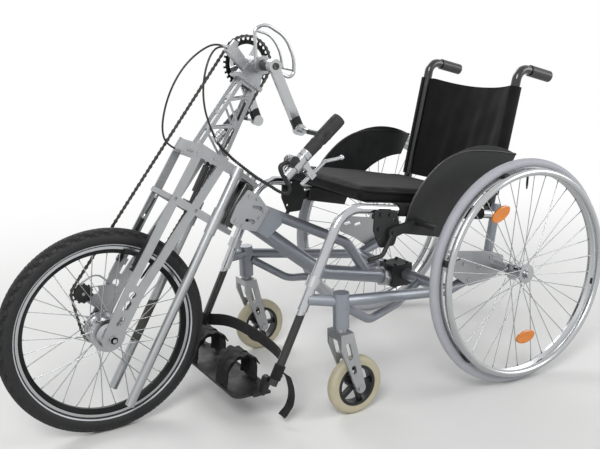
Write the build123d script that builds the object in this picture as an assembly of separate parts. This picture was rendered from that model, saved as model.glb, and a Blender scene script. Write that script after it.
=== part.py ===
from build123d import *
import math
import os

# A wheelchair with a clip-on, hand-driven front wheel unit.
# Millimetres, +Z up. Forward is -X and the rider's left is -Y. The origin is on the floor, in the
# middle of the whole length. Chair places are given as d, the distance forward of the rear axle.
# Unit places are given as p, forward of the steering axis and square to it, and s, up along it.

# Overall sizes
wheelbase = 1015.0
rear_wheel_radius = 298.0
front_wheel_radius = 250.0
track = 638.0
camber = 2.0
frame_half_width = 209.0
post_half_width = frame_half_width - 26.0

# Clearances
running = 0.05
soft_gap = 0.3
chain_gap = 0.4

# Chair tubes
rail_radius = 12.5
rail_wall = 2.0
lower_tube_radius = 14.0
cross_tube_radius = 16.0
brace_radius = 11.0
rail_rear = (2.0, 432.0)
rail_bend = (478.0, 515.0)
rail_foot = (597.0, 280.0)
rail_bend_radius = 70.0
lower_tube_front = (582.0, 306.0)
lower_tube_corner = (150.0, 244.0)
lower_tube_rear = (20.0, 282.0)
upright_top = (-14.0, 458.0)

# Casters
caster_radius = 75.0
caster_width = 30.0
caster_trail = 37.0
caster_stem_d = 512.0
caster_half_width = 248.0
caster_stem_radius = 9.0
caster_head_radius = 20.0
caster_head_bottom = 232.0
caster_head_top = 320.0
caster_leg = 8.0
caster_leg_gap = 46.0
caster_axle_radius = 4.0

# Rear wheels
rear_tyre_section = 25.0
rear_rim_outer = 277.0
rear_rim_inner = 261.0
rear_rim_width = 21.0
rear_axle_radius = 6.35
rear_flange_radius = 25.0
rear_flange_y = 22.0
rear_hub_shell = 17.0
rear_spokes = 36
spoke_radius = 1.1
handrim_radius = 266.0
handrim_tube = 9.0
handrim_standoff = 10.0
handrim_tabs = 6

# Axle plates
plate_thickness = 8.0
axle_boss_radius = 14.0

# Seat and back
sling_thickness = 3.0
cushion_thickness = 30.0
cushion_crown = 9.0
post_radius = 12.5
post_top = (-102.0, 812.0)
handle_end = (-208.0, 783.0)
handle_bend = 30.0
push_grip_length = 70.0
back_hinge = (-14.0, 446.0)
back_hinge_pin = 4.0
back_sheet = 5.0
back_height = 292.0
back_bow = 32.0
guard_thickness = 3.5
guard_y = frame_half_width + 17.0

# Wheel locks
lock_plate_thickness = 5.0
lock_spacer = 2.2
lock_pivot = (352.0, 440.0)
lock_shoe = (275.0, 455.0)
lock_shoe_radius = 9.0
lock_pin_radius = 4.0

# Footrest
footrest_tube_radius = 10.45
footrest_drop = 171.0
foot_pin_radius = 4.0
footplate_length = 96.0
footplate_half_width = 178.0
footplate_thickness = 7.0
footplate_top = 86.0
strap_thickness = 3.0

# Steering geometry
head_tilt = 36.0
fork_drop = 417.4
fork_offset = 135.5
head_half_length = 57.0
head_radius = 22.0
stem_radius = 12.0

# Fork
fork_half_gap = 55.0
blade_thickness = 5.0
rail_width = 20.0
crown_thickness = 12.0
crown_top_s = 60.0
crown_bottom_s = -62.0
crown_front_p = 192.0
stand_radius = 11.0
stand_wall = 2.0
stand_sleeve = 13.5
stand_top = (73.0, 75.0)
stand_foot = (11.5, -542.0)

# Rim brake
brake_pivot = (164.0, -47.0, -252.0)
brake_top_s = -142.0
brake_pivot_radius = 4.0
brake_post_block = 7.0
pad_gap = 2.0
pad_depth = 10.0

# Front wheel
front_tyre_section = 47.0
front_rim_outer = 209.0
front_rim_inner = 191.0
front_rim_width = 25.0
front_axle_radius = 5.0
front_flange_radius = 40.0
front_flange_y = 29.0
front_hub_shell = 35.0
hub_driver_radius = 20.0
front_spokes = 36

# Drive
chain_y = 45.0
chain_pitch = 12.7
chain_height = 5.5
chain_width = 6.5
chainring_teeth = 30
hub_teeth = 18
pulley_teeth = 11
tooth_height = 2.2
tooth_thickness = 3.0
roller_radius = 4.1
crank_p = 145.0
crank_s = 315.0
pulley_p = 212.0
pulley_s = -365.0
crank_axle_radius = 8.5
hoop_y = -38.0
crank_length = 163.0
crank_angle = 56.6
arm_inner_y = 84.0
arm_splay = 14.0
arm_width = 26.0
arm_thickness = 14.0
spindle_radius = 6.0

# Handles
grip_y = 218.0
grip_lean = 15.1
grip_core = 11.0
grip_radius = 17.0
lever_n = 46.0
lever_t = -84.0
grip_top = 55.0
grip_bottom = -57.0

# Mast
mast_half_width = 19.0
mast_sheet = 3.0
mast_bottom_s = 72.0
mast_top_s = 262.0
mast_front_p = (172.0, 161.0)
mast_rear_p = (98.0, 121.0)

# Coupling
coupling_lower_radius = 20.0
coupling_upper_radius = 14.0
coupling_wall = 2.5
clamp_half_width = 32.0

# Cables
cable_radius = 2.5
wrap_radius = 4.0

BASE = (Align.CENTER, Align.CENTER, Align.MIN)
os.makedirs("parts", exist_ok=True)

# Worked-out places
rear_axle_x = (wheelbase + front_wheel_radius - rear_wheel_radius) / 2
tilt = math.radians(head_tilt)
lean = math.radians(camber)
rear_axle_z = (rear_wheel_radius - rear_tyre_section / 2) * math.cos(lean) + rear_tyre_section / 2
head_d = wheelbase - fork_drop * math.sin(tilt) - fork_offset * math.cos(tilt)
head_z = front_wheel_radius + fork_drop * math.cos(tilt) - fork_offset * math.sin(tilt)
unit_place = Location((rear_axle_x - head_d, 0, head_z), (0, head_tilt, 0))
rail_slope = math.atan2(rail_bend[1] - rail_rear[1], rail_bend[0] - rail_rear[0])
hanger_run = Vector(rail_foot[0] - rail_bend[0], 0, rail_foot[1] - rail_bend[1]).normalized()
plate_inner = frame_half_width + lower_tube_radius
plate_outer = plate_inner + plate_thickness
left_wheel_place = Location((rear_axle_x, -track / 2, rear_axle_z), (-camber, 0, 0))
blade_inner = fork_half_gap
blade_outer = fork_half_gap + blade_thickness
stand_y = blade_outer - 0.5
front_axle_place = Vector(-fork_offset, 0, -fork_drop)


def at(d, y, z):
    """A chair place as a vector."""
    return Vector(rear_axle_x - d, y, z)


def sp(p, y, s):
    """A unit place as a vector in the steering frame."""
    return Vector(-p, y, s)


def rod(start, end, radius):
    """A round bar between two points."""
    start, end = Vector(*start), Vector(*end)
    run = end - start
    return extrude(Plane(origin=start, z_dir=run) * Circle(radius), amount=run.length)


def pipe(points, radius, bends):
    """A round bar along straight runs joined by arcs."""
    path = FilletPolyline(*points, radius=bends) if len(points) > 2 else Line(*points)
    return sweep(Plane(origin=path @ 0, z_dir=path % 0) * Circle(radius), path=path)


def drum(x, z, radius, y_low, y_high):
    """A cylinder along Y."""
    return Pos(x, y_low, z) * Rot(-90, 0, 0) * Cylinder(radius, y_high - y_low, align=BASE)


def slab(sketch, y_low, y_high):
    """A sketch drawn in the X-Z plane, as thick as from y_low to y_high."""
    return extrude(Plane.XZ.offset(-y_low) * sketch, amount=y_high - y_low, dir=(0, 1, 0))


def outline(points):
    """A flat face through the points, always with the same side up."""
    turn = sum(a[0] * b[1] - b[0] * a[1] for a, b in zip(points, points[1:] + points[:1]))
    return Polygon(*(points if turn > 0 else points[::-1]), align=None)


def chair_face(*points):
    return outline([(rear_axle_x - d, z) for d, z in points])


def unit_face(*points):
    return outline([(-p, s) for p, s in points])


def strip(start, end, width):
    """A flat bar's outline between two unit places."""
    a = Vector(-start[0], start[1])
    b = Vector(-end[0], end[1])
    run = b - a
    middle = (a + b) * 0.5
    angle = math.degrees(math.atan2(run.Y, run.X))
    return Pos(middle.X, middle.Y) * Rot(0, 0, angle) * SlotOverall(run.length + width, width)


def both(left):
    """The piece and its mirror image on the other side."""
    return [left, mirror(left, about=Plane.XZ)]


def whole(solids):
    """Join solids that are one piece."""
    first, *rest = solids
    return first.fuse(*rest) if rest else first


def save(name, *pieces):
    """Write one node from its pieces."""
    solids = [solid for piece in pieces for solid in piece.solids()]
    export_step(Compound(solids), f"parts/{name}.step")


def lace(count, hub_radius, flange_y, rim_radius, reach):
    """Spokes from two flanges to the rim, crossed in pairs."""
    spokes = []
    for i in range(count):
        side = 1 if i % 2 else -1
        twist = reach if i % 4 < 2 else -reach
        head = 1.7 if i % 4 < 2 else -1.7
        rim_angle = math.radians(360 * i / count)
        hub_angle = rim_angle + math.radians(twist)
        start = (hub_radius * math.cos(hub_angle), side * flange_y + head, hub_radius * math.sin(hub_angle))
        end = (rim_radius * math.cos(rim_angle), side * 2.0, rim_radius * math.sin(rim_angle))
        spokes.append(rod(start, end, spoke_radius))
    return spokes


def tyre(radius, section, seat_radius):
    face = Pos(radius - section / 2, 0) * Circle(section / 2)
    return revolve(face - Pos(seat_radius / 2, 0) * Rectangle(seat_radius, section * 2), axis=Axis.Y)


def rim(outer, inner, width):
    half = width / 2
    shoulder = outer - 0.55 * (outer - inner)
    return revolve(
        Polygon((outer, half), (outer, -half), (shoulder, -half), (inner, -half / 3), (inner, half / 3),
                (shoulder, half), align=None), axis=Axis.Y)


def sprocket(teeth, y_low):
    """A toothed plate on the Y axis, with roller-shaped gaps."""
    pitch_radius = chain_pitch / (2 * math.sin(math.pi / teeth))
    face = Circle(pitch_radius + tooth_height)
    gaps = [Pos(pitch_radius * math.cos(a), pitch_radius * math.sin(a)) * Circle(roller_radius)
            for a in [2 * math.pi * k / teeth for k in range(teeth)]]
    return slab(face - gaps, y_low, y_low + tooth_thickness)


def tooth_tip(teeth):
    return chain_pitch / (2 * math.sin(math.pi / teeth)) + tooth_height


def bend_radii(points):
    """The largest arc that each pair of runs allows."""
    radii = []
    for a, b, c in zip(points, points[1:], points[2:]):
        run_in, run_out = b - a, c - b
        turn = math.radians(run_in.get_angle(run_out))
        radii.append(0.45 * min(run_in.length, run_out.length) / math.tan(turn / 2))
    return radii


def cable(name, points, radius):
    """A cable's tube, with its bends printed and its volume set against section times length."""
    radii = bend_radii(points)
    print(name, "bend radii", [round(r) for r in radii])
    path = FilletPolyline(*points, radius=radii)
    solid = sweep(Plane(origin=path @ 0, z_dir=path % 0) * Circle(radius), path=path)
    print(name, "length", round(path.length), "volume ratio",
          round(solid.volume / (math.pi * radius ** 2 * path.length), 4))
    return solid


# Chair frame

def hanger():
    """One plated tube: seat rail, front bend and the socket of the footrest tube."""
    points = [at(d, -frame_half_width, z) for d, z in (rail_rear, rail_bend, rail_foot)]
    return pipe(points, rail_radius, rail_bend_radius), pipe(points, rail_radius - rail_wall, rail_bend_radius)


def base_frame_side():
    y = -frame_half_width
    lower = pipe([at(lower_tube_front[0], y - 3, lower_tube_front[1]),
                  at(caster_stem_d, -caster_half_width, 298),
                  at(lower_tube_corner[0], y, lower_tube_corner[1]),
                  at(lower_tube_rear[0], y, lower_tube_rear[1])], lower_tube_radius, 40)
    head = rod(at(caster_stem_d, -caster_half_width, caster_head_bottom),
               at(caster_stem_d, -caster_half_width, caster_head_top), caster_head_radius)
    upright = rod(at(lower_tube_rear[0], y, lower_tube_rear[1] - 10),
                  at(upright_top[0], y, upright_top[1]), rail_radius)
    brace = pipe([at(500, 12 - caster_half_width, 280), at(400, y + 4, 214), at(270, y + 59, 215),
                  at(lower_tube_corner[0], -95, lower_tube_corner[1])], brace_radius, 60)
    hinge_pin = rod(at(back_hinge[0], y, back_hinge[1]),
                    at(back_hinge[0], -post_half_width + post_radius + 3, back_hinge[1]), back_hinge_pin)
    return [lower, head, upright, brace, hinge_pin]


hanger_outer, hanger_bore = hanger()
left_side = whole(base_frame_side())
stem_bore = rod(at(caster_stem_d, -caster_half_width, caster_head_bottom - 1),
                at(caster_stem_d, -caster_half_width, caster_head_top - 6), caster_stem_radius + running)
left_side = left_side - stem_bore - hanger_outer
cross_tube = rod(at(lower_tube_corner[0], -frame_half_width, lower_tube_corner[1]),
                 at(lower_tube_corner[0], frame_half_width, lower_tube_corner[1]), cross_tube_radius)
save("base_frame", whole([cross_tube, *both(left_side)]))
save("seat_hangers", *both(hanger_outer - hanger_bore))


def axle_plate():
    face = chair_face((200, 368), (120, 352), (20, 336), (-26, 318), (-26, 280), (15, 258), (95, 252),
                      (150, 292), (200, 318))
    face = fillet(face.vertices(), 8)
    slots = [Pos(rear_axle_x - d, z) * Rot(0, 0, 8) * SlotOverall(26, 9) for d, z in ((176, 342), (138, 334))]
    plate = slab(face - slots, -plate_outer, -plate_inner)
    boss = left_wheel_place * rod((0, 29, 0), (0, track / 2 - plate_outer + 5, 0), axle_boss_radius)
    bore = left_wheel_place * rod((0, 20, 0), (0, track / 2 - plate_inner + 14, 0), rear_axle_radius)
    return plate + boss - bore


save("axle_plates", *both(axle_plate()))
axle = rod((0, -33, 0), (0, track / 2 - plate_outer + 2, 0), rear_axle_radius)
button = rod((0, -37, 0), (0, -30.4, 0), 10)
save("wheel_axles", *both(left_wheel_place * whole([axle, button])))


# Seat, in a frame that follows the rails: u forward from the rails' rear end

seat_place = Location(tuple(at(rail_rear[0], 0, rail_rear[1])), (0, math.degrees(rail_slope), 0))


def seat_sling(u_rear=40.0, u_sleeve=322.0, u_front=402.0):
    """A cloth across the rails, held by a sleeve round each; its front edge is narrower."""
    outer = rail_radius + soft_gap + sling_thickness
    middle = Pos(0, rail_radius + soft_gap + sling_thickness / 2)
    sleeves = [Pos(side * frame_half_width, 0) * (Circle(outer) - Circle(rail_radius + soft_gap))
               for side in (-1, 1)]
    held = middle * Rectangle(2 * frame_half_width, sling_thickness) + sleeves
    free = middle * Rectangle(2 * frame_half_width - 40, sling_thickness)
    return seat_place * (extrude(Plane.YZ.offset(-u_sleeve) * held, amount=u_sleeve - u_rear)
                         + extrude(Plane.YZ.offset(-u_front) * free, amount=u_front - u_sleeve))


def seat_cushion(u_rear=28.0, u_front=440.0):
    """A crowned pad, narrow at the back to let the posts fold past it."""
    narrow = post_half_width - post_radius - soft_gap - back_sheet - 3
    wide = frame_half_width - 6
    face = Polygon((-u_rear, narrow), (-130, narrow), (-158, wide), (-u_front, wide), (-u_front, -wide),
                   (-158, -wide), (-130, -narrow), (-u_rear, -narrow), align=None)
    face = fillet(face.vertices(), 14)
    base = rail_radius + 2 * soft_gap + sling_thickness
    pad = extrude(Plane.XY.offset(base) * face, amount=cushion_thickness)
    crown_radius = (wide ** 2 + cushion_crown ** 2) / (2 * cushion_crown)
    crown = Pos(-u_front - 10, 0, base + cushion_thickness - crown_radius) * Rot(0, 90, 0) * Cylinder(
        crown_radius, u_front, align=BASE)
    pad = pad & crown
    edges = pad.edges().filter_by_position(Axis.Z, base - 1, base + 1)
    return seat_place * fillet(edges, 7)


save("seat_sling", seat_sling())
save("seat_cushion", seat_cushion())


def side_guard():
    """A panel that keeps clothes off the wheel, its top following the tyre."""
    x = rear_axle_x
    edges = [
        ThreePointArc((x + 58, 590), (x - 120, 620), (x - 300, 472)),
        Polyline((x - 300, 472), (x - 312, 430), (x - 185, 400)),
        ThreePointArc((x - 185, 400), (x - 112, 492), (x + 25, 532)),
        Line((x + 25, 532), (x + 58, 590)),
    ]
    face = make_face(edges)
    panel = slab(face, -guard_y - guard_thickness, -guard_y)
    pegs = [rod(at(d, -guard_y - 1, rail_rear[1] + (d - rail_rear[0]) * math.tan(rail_slope)),
                at(d, -frame_half_width, rail_rear[1] + (d - rail_rear[0]) * math.tan(rail_slope)), 5)
            for d in (232, 288)]
    hole = seat_place * rod((-350, -frame_half_width, 0), (-30, -frame_half_width, 0),
                            rail_radius + sling_thickness + 2 * soft_gap)
    return whole([panel, *pegs]) - hole


save("side_guards", *both(side_guard()))


def lock_bracket():
    """A plate clamped to the seat rail, with the pin that the wheel lock turns on."""
    face = chair_face((398, 502), (334, 492), (324, 452), (340, 404), (384, 404), (402, 450))
    face = fillet(face.vertices(), 10)
    holes = [Pos(rear_axle_x - d, z) * Circle(3.5) for d, z in ((384, 426), (340, 470))]
    y = -frame_half_width - rail_radius - 2
    plate = slab(face - holes, y - lock_plate_thickness, y)
    rail_z = rail_rear[1] + (366 - rail_rear[0]) * math.tan(rail_slope)
    block = Pos(*at(366, y + 14, rail_z - 11)) * Rot(0, math.degrees(rail_slope), 0) * Box(36, 28, 30)
    pin = drum(rear_axle_x - lock_pivot[0], lock_pivot[1], lock_pin_radius, y - 20, y)
    spacer = drum(rear_axle_x - lock_pivot[0], lock_pivot[1], 9, y - lock_plate_thickness - lock_spacer, y)
    screws = [rod(at(d, y - lock_plate_thickness, z), at(d, y - lock_plate_thickness - 4, z), 5)
              for d, z in ((380, 488), (352, 484), (386, 452))]
    return whole([plate, block, pin, spacer, *screws]) - hanger_outer


save("lock_brackets", *both(lock_bracket()))


def wheel_lock():
    """A lever with a shoe across the tyre and a curved handle."""
    y = -frame_half_width - rail_radius - 2 - lock_plate_thickness - lock_spacer - running
    x_pivot, x_shoe = rear_axle_x - lock_pivot[0], rear_axle_x - lock_shoe[0]
    face = make_hull([*(Pos(x_pivot, lock_pivot[1]) * Circle(13)).edges(),
                      *(Pos(x_shoe, lock_shoe[1]) * Circle(10)).edges()])
    arm = slab(face, y - 9, y)
    shoe = drum(x_shoe, lock_shoe[1], lock_shoe_radius, 7 - track / 2, y - 1)
    grip = pipe([at(354, y - 6, 434), at(384, y - 9, 388), at(428, y - 12, 384)], 5.5, 14)
    hole = drum(x_pivot, lock_pivot[1], lock_pin_radius + running, y - 20, y + 1)
    return whole([arm, shoe, grip]) - hole


save("wheel_lock_left", wheel_lock())
save("wheel_lock_right", mirror(wheel_lock(), about=Plane.XZ))


# Footrest

foot_end = at(rail_foot[0], -frame_half_width, rail_foot[1]) + Vector(-hanger_run.X, 0, hanger_run.Z) * (
    footrest_drop / -hanger_run.Z)
foot_axis = (rear_axle_x - foot_end.X, foot_end.Z + 5)


def footrest_tube():
    down = Vector(-hanger_run.X, 0, hanger_run.Z)
    top = at(rail_foot[0], -frame_half_width, rail_foot[1]) - down * 80
    tube = rod(top, foot_end, footrest_tube_radius)
    pin = rod(at(foot_axis[0], -frame_half_width, foot_axis[1]),
              at(foot_axis[0], -footplate_half_width - 4, foot_axis[1]), foot_pin_radius)
    collar_low = at(rail_foot[0], -frame_half_width, rail_foot[1]) - down * 86
    collar = rod(collar_low, collar_low + down * 26, rail_radius + 5) - hanger_outer - hanger_bore
    return [whole([tube, pin]), collar]


save("footrest_tubes", *[side for piece in footrest_tube() for side in both(piece)])


def footplate():
    """A board between the two tubes that flips up on pins at its back edge."""
    x, z = rear_axle_x - foot_axis[0], foot_axis[1]
    half = footplate_half_width
    board = Pos(x + 12 - footplate_length / 2, 0, footplate_top - footplate_thickness) * extrude(
        RectangleRounded(footplate_length, 2 * half, 24), amount=footplate_thickness)
    lip = Pos(x + 12, 0, footplate_top - 3) * Box(6, 2 * half - 60, 10)
    ear_face = make_hull([*(Pos(x, z) * Circle(10)).edges(), *(Pos(x - 14, footplate_top - 3) * Circle(5)).edges()])
    ears = [slab(ear_face, -half - 12, -half + 6), slab(ear_face, half - 6, half + 12)]
    shelf = [slab(chair_face((foot_axis[0] - 6, footplate_top), (foot_axis[0] + 40, footplate_top),
                             (foot_axis[0] + 40, footplate_top - footplate_thickness),
                             (foot_axis[0] - 6, footplate_top - footplate_thickness)), side * (half - 4) - 14,
                  side * (half - 4) + 14) for side in (-1, 1)]
    hole = drum(x, z, foot_pin_radius + running, -half - 20, half + 20)
    return whole([board, lip, *ears, *shelf]) - hole


def strap(points, width, thickness, y, bends):
    """A flat band standing across Y, along a side-view path."""
    path = FilletPolyline(*[(x, y, z) for x, z in points], radius=bends)
    return sweep(Plane(origin=path @ 0, z_dir=path % 0, x_dir=(0, 1, 0)) * Rectangle(width, thickness), path=path)


def toe_straps():
    """Two loops on the board, one for each foot."""
    x, z = rear_axle_x - foot_axis[0], footplate_top + soft_gap
    loops = []
    for y in (-88, 88):
        path = [(x + 2, z), (x + 8, z + 52), (x - 34, z + 70), (x - 70, z + 44), (x - 78, z)]
        loops.append(strap(path, 62, strap_thickness, y, 22))
    return loops


def heel_strap():
    """A band behind the heels between sleeves round the two tubes, with a loose tail on the left."""
    down = Vector(-hanger_run.X, 0, hanger_run.Z)
    inner = footrest_tube_radius + soft_gap
    sleeves = []
    for side in (-1, 1):
        low = Vector(foot_end.X, side * frame_half_width, foot_end.Z) - down * 16
        sleeves.append(rod(low - down * 36, low, inner + strap_thickness))
    x, z = foot_end.X - down.X * 34, foot_end.Z - down.Z * 34
    reach = frame_half_width
    path = FilletPolyline((x + 12, -reach, z), (x + 40, -reach + 44, z + 6), (x + 54, 0, z + 14),
                          (x + 40, reach - 44, z + 6), (x + 12, reach, z), radius=[26, 90, 26])
    band = sweep(Plane(origin=path @ 0, z_dir=path % 0, x_dir=(0, 0, 1)) * Rectangle(34, strap_thickness),
                 path=path)
    tail = strap([(x + 11, z - 4), (x + 34, z - 36), (x + 36, z - 84), (x + 8, z - 118)], 30,
                 strap_thickness, -reach + 2, 24)
    strap_body = whole([*sleeves, band, tail])
    for side in (-1, 1):
        top = at(rail_foot[0], side * frame_half_width, rail_foot[1])
        strap_body = strap_body - rod(top, top + down * 300, inner)
    return strap_body


save("footplate", footplate())
save("toe_straps", *toe_straps())
save("heel_strap", heel_strap())


# Backrest, on posts that fold forward

def back_post():
    y = -post_half_width
    hinge = at(back_hinge[0], y, back_hinge[1])
    post = pipe([hinge, at(post_top[0], y, post_top[1]), at(handle_end[0], y, handle_end[1])], post_radius, handle_bend)
    foot = drum(hinge.X, hinge.Z, post_radius, y - post_radius + 2, y + post_radius - 2)
    hole = drum(hinge.X, hinge.Z, back_hinge_pin + running, y - post_radius - 2, y + post_radius + 5)
    end = at(handle_end[0], y, handle_end[1])
    toward = (end - at(post_top[0], y, post_top[1])).normalized()
    sleeve = rod(end - toward * push_grip_length, end + toward * 4, post_radius + 3)
    return whole([post, foot]) - hole, sleeve - rod(end - toward * (push_grip_length + 6), end, post_radius)


post, push_grip = back_post()
save("backrest_posts", *both(post), *both(push_grip))

post_lean = math.degrees(math.atan2(back_hinge[0] - post_top[0], post_top[1] - back_hinge[1]))
back_place = Location(tuple(at(back_hinge[0], 0, back_hinge[1])), (0, post_lean, 0))


def backrest_cover(low=34.0):
    """A cloth sheet slung between sleeves on the posts, bowed to the rear."""
    y = post_half_width
    outer = post_radius + soft_gap + back_sheet
    arc = ThreePointArc((0, -y), (back_bow, 0), (0, y))
    sheet = make_face([arc, Line((0, y), (-back_sheet, y)),
                       ThreePointArc((-back_sheet, y), (back_bow - back_sheet, 0), (-back_sheet, -y)),
                       Line((-back_sheet, -y), (0, -y))])
    rings = [Pos(0, side * y) * Circle(outer) for side in (-1, 1)]
    holes = [Pos(0, side * y) * Circle(post_radius + soft_gap) for side in (-1, 1)]
    panel = extrude(Pos(0, 0, low) * (sheet + rings - holes), amount=back_height)
    dip = Pos(0, 0, low + back_height + 1180) * Rot(0, 90, 0) * Cylinder(1190, 200)
    return back_place * (panel - dip)


save("backrest_cover", backrest_cover())


# Rear wheels

def rear_hub():
    shell, flange, y = rear_hub_shell, rear_flange_radius, rear_flange_y
    bore = rear_axle_radius + running
    body = revolve(Polygon((bore, -y - 8), (14, -y - 8), (14, -y - 4), (flange, -y - 3), (flange, -y + 3),
                           (shell, -y + 5), (shell, y - 5), (flange, y - 3), (flange, y + 3), (14, y + 4),
                           (14, y + 6), (bore, y + 6), align=None), axis=Axis.Y)
    return whole([body, *lace(rear_spokes, flange - 3, y, rear_rim_inner, 38)])


def handrim():
    y = -rear_rim_width / 2 - handrim_standoff - handrim_tube
    ring = revolve(Pos(handrim_radius, y) * Circle(handrim_tube), axis=Axis.Y)
    tab = Pos(handrim_radius + 5, -rear_rim_width / 2 - handrim_standoff / 2 - 2, 0) * Box(
        9, handrim_standoff + 4, 14)
    tabs = [Rot(0, 360 * k / handrim_tabs + 15, 0) * tab for k in range(handrim_tabs)]
    return whole([ring, *tabs])


rear_tyre_shape = tyre(rear_wheel_radius, rear_tyre_section, rear_rim_outer)
rear_rim_shape = rim(rear_rim_outer, rear_rim_inner, rear_rim_width)
for name, shape in (("rear_tyre", rear_tyre_shape), ("rear_rim", rear_rim_shape), ("rear_hub", rear_hub()),
                    ("handrim", handrim())):
    left = left_wheel_place * shape
    save(name + "_left", left)
    save(name + "_right", mirror(left, about=Plane.XZ))


# Casters

def caster_fork():
    x, y = rear_axle_x - caster_stem_d, -caster_half_width
    x_axle = x + caster_trail
    half = caster_leg_gap / 2
    top = outline([(x - 20, 224), (x + 16, 224), (x - 20, 188)])
    face = make_hull([*top.edges(), *(Pos(x_axle, caster_radius) * Circle(13)).edges()])
    slots = [Pos(x + 3, 178) * Rot(0, 0, 104) * SlotOverall(46, 14),
             Pos(x + 17, 128) * Rot(0, 0, 104) * SlotOverall(24, 12)]
    face = face - slots
    legs = [slab(face, y - half - caster_leg, y - half), slab(face, y + half, y + half + caster_leg)]
    crown = Pos(x - 1, y, 215) * Box(38, caster_leg_gap, 18)
    neck = rod((x, y, 222), (x, y, caster_head_bottom - 1), 14)
    stem = rod((x, y, 222), (x, y, caster_head_top - 8), caster_stem_radius)
    axle_pin = drum(x_axle, caster_radius, caster_axle_radius, y - half - caster_leg - 4, y + half + caster_leg + 4)
    heads = [drum(x_axle, caster_radius, 8, y - half - caster_leg - 5, y - half - caster_leg),
             drum(x_axle, caster_radius, 8, y + half + caster_leg, y + half + caster_leg + 5)]
    return whole([*legs, crown, neck, stem, axle_pin, *heads])


def caster_wheel():
    centre = Pos(rear_axle_x - caster_stem_d + caster_trail, -caster_half_width, caster_radius)
    inner = 53.0
    half = caster_width / 2
    band = fillet(Polygon((inner, half - 2), (inner, 2 - half), (caster_radius, -half), (caster_radius, half),
                          align=None).vertices().filter_by_position(Axis.X, caster_radius - 1, caster_radius + 1), 11)
    tread = revolve(band, axis=Axis.Y)
    ring = revolve(Pos(inner - 4, 0) * Rectangle(8, caster_width - 4), axis=Axis.Y)
    middle = drum(0, 0, 13, 0.3 - caster_leg_gap / 2, caster_leg_gap / 2 - 0.3)
    arms = [Rot(0, 72 * k, 0) * Pos(29, 0, 0) * Box(38, 12, 11) for k in range(5)]
    bore = drum(0, 0, caster_axle_radius + running, -caster_leg_gap, caster_leg_gap)
    hub = whole([ring, middle, *arms]) - bore
    return [centre * tread, centre * hub]


fork_left = caster_fork()
save("caster_fork_left", fork_left)
save("caster_fork_right", mirror(fork_left, about=Plane.XZ))
wheel_left = caster_wheel()
save("caster_wheel_left", *wheel_left)
save("caster_wheel_right", *[mirror(piece, about=Plane.XZ) for piece in wheel_left])


# Coupling, fixed to the chair

def coupling_frame():
    lower_points = [at(628, 0, 462), at(417, 0, 291), at(205, 0, 239)]
    upper_points = [at(592, 0, 488), at(330, 0, 357), at(268, 0, 266)]
    lower = pipe(lower_points, coupling_lower_radius, 90)
    upper = pipe(upper_points, coupling_upper_radius, 60)
    face = fillet(chair_face((640, 498), (612, 512), (552, 482), (540, 446), (584, 414), (634, 452)).vertices(), 6)
    y = coupling_lower_radius - 1
    gussets = [slab(face, -y - 4, -y), slab(face, y, y + 4)]
    rivets = [drum(rear_axle_x - 562 - 14 * k, 474 + 7 * k, 2.5, side * (y + 3) - 2, side * (y + 3) + 2)
              for k in range(4) for side in (-1, 1)]
    bore = pipe(lower_points, coupling_lower_radius - coupling_wall, 90)
    return whole([lower, upper, *gussets, *rivets]) - bore, lower


coupling, coupling_beam = coupling_frame()
save("coupling_frame", coupling)


def coupling_clamp():
    """A split block on the cross tube with an eight-sided collar round the beam's end."""
    d, z = lower_tube_corner
    block = Pos(*at(d + 12, 0, z - 2)) * Box(66, 2 * clamp_half_width, 62)
    end, before = at(205, 0, 239), at(417, 0, 291)
    toward = (end - before).normalized()
    collar = extrude(Plane(origin=end - toward * 12, z_dir=toward) * RegularPolygon(27, 8), amount=34)
    rail_cut = rod(at(d, -99, z), at(d, 99, z), cross_tube_radius)
    bolts = [rod(at(d + dd, 0, z - 37), at(d + dd, 0, z + 34), 4) for dd in (-8.0, 32.0)]
    bolts = [Pos(0, y, 0) * bolt for bolt in bolts for y in (-24, 24)]
    return whole([block, collar, *bolts]) - coupling_beam - rail_cut


save("coupling_clamp", coupling_clamp())


def docking_plates():
    face = unit_face((6, -46), (12, 0), (6, 46), (-30, 48), (-74, 32), (-74, -32), (-30, -48))
    face = fillet(face.vertices(), 6)
    slots = [Pos(40, 20) * Rot(0, 0, 20) * SlotOverall(24, 8), Pos(40, -18) * Rot(0, 0, 20) * SlotOverall(24, 8),
             Pos(52, 22) * Circle(5.5), Pos(52, -16) * Circle(5.5)]
    y = coupling_lower_radius + 3
    plate = unit_place * slab(face - slots, -y - 6, -y)
    bolts = [unit_place * drum(x, s, 4, -y - 10, y + 10) for x, s in ((62, 2), (30, 38), (30, -38))]
    web = unit_place * slab(unit_face((-12, -30), (-12, 30), (-34, 30), (-34, -30)), -y, y)
    return whole([plate, mirror(plate, about=Plane.XZ), *bolts, web]) - coupling_beam


head_tube_shape = unit_place * (rod((0, 0, -head_half_length), (0, 0, head_half_length), head_radius)
                                - rod((0, 0, -99), (0, 0, 99), stem_radius + running))
docking = docking_plates() - coupling - unit_place * rod((0, 0, -99), (0, 0, 99), head_radius)
save("docking_plates", docking)
save("head_tube", head_tube_shape)


# Fork, in the steering frame

def stand_line(s):
    """The stand's place p at a height s."""
    share = (s - stand_foot[1]) / (stand_top[1] - stand_foot[1])
    return stand_foot[0] + share * (stand_top[0] - stand_foot[0])


def stand_rod(s_low, s_high, radius, side=-1):
    return rod(sp(stand_line(s_low), side * stand_y, s_low), sp(stand_line(s_high), side * stand_y, s_high), radius)


def crown_face(windows):
    wide = blade_inner
    face = make_hull([*Circle(25).edges(), *Polygon((-66, wide), (-crown_front_p, wide), (-crown_front_p, -wide),
                                                   (-66, -wide), align=None).edges()])
    chain_slot = Pos(-90, chain_y) * Rectangle(22, 16)
    return face - chain_slot - windows


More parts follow.
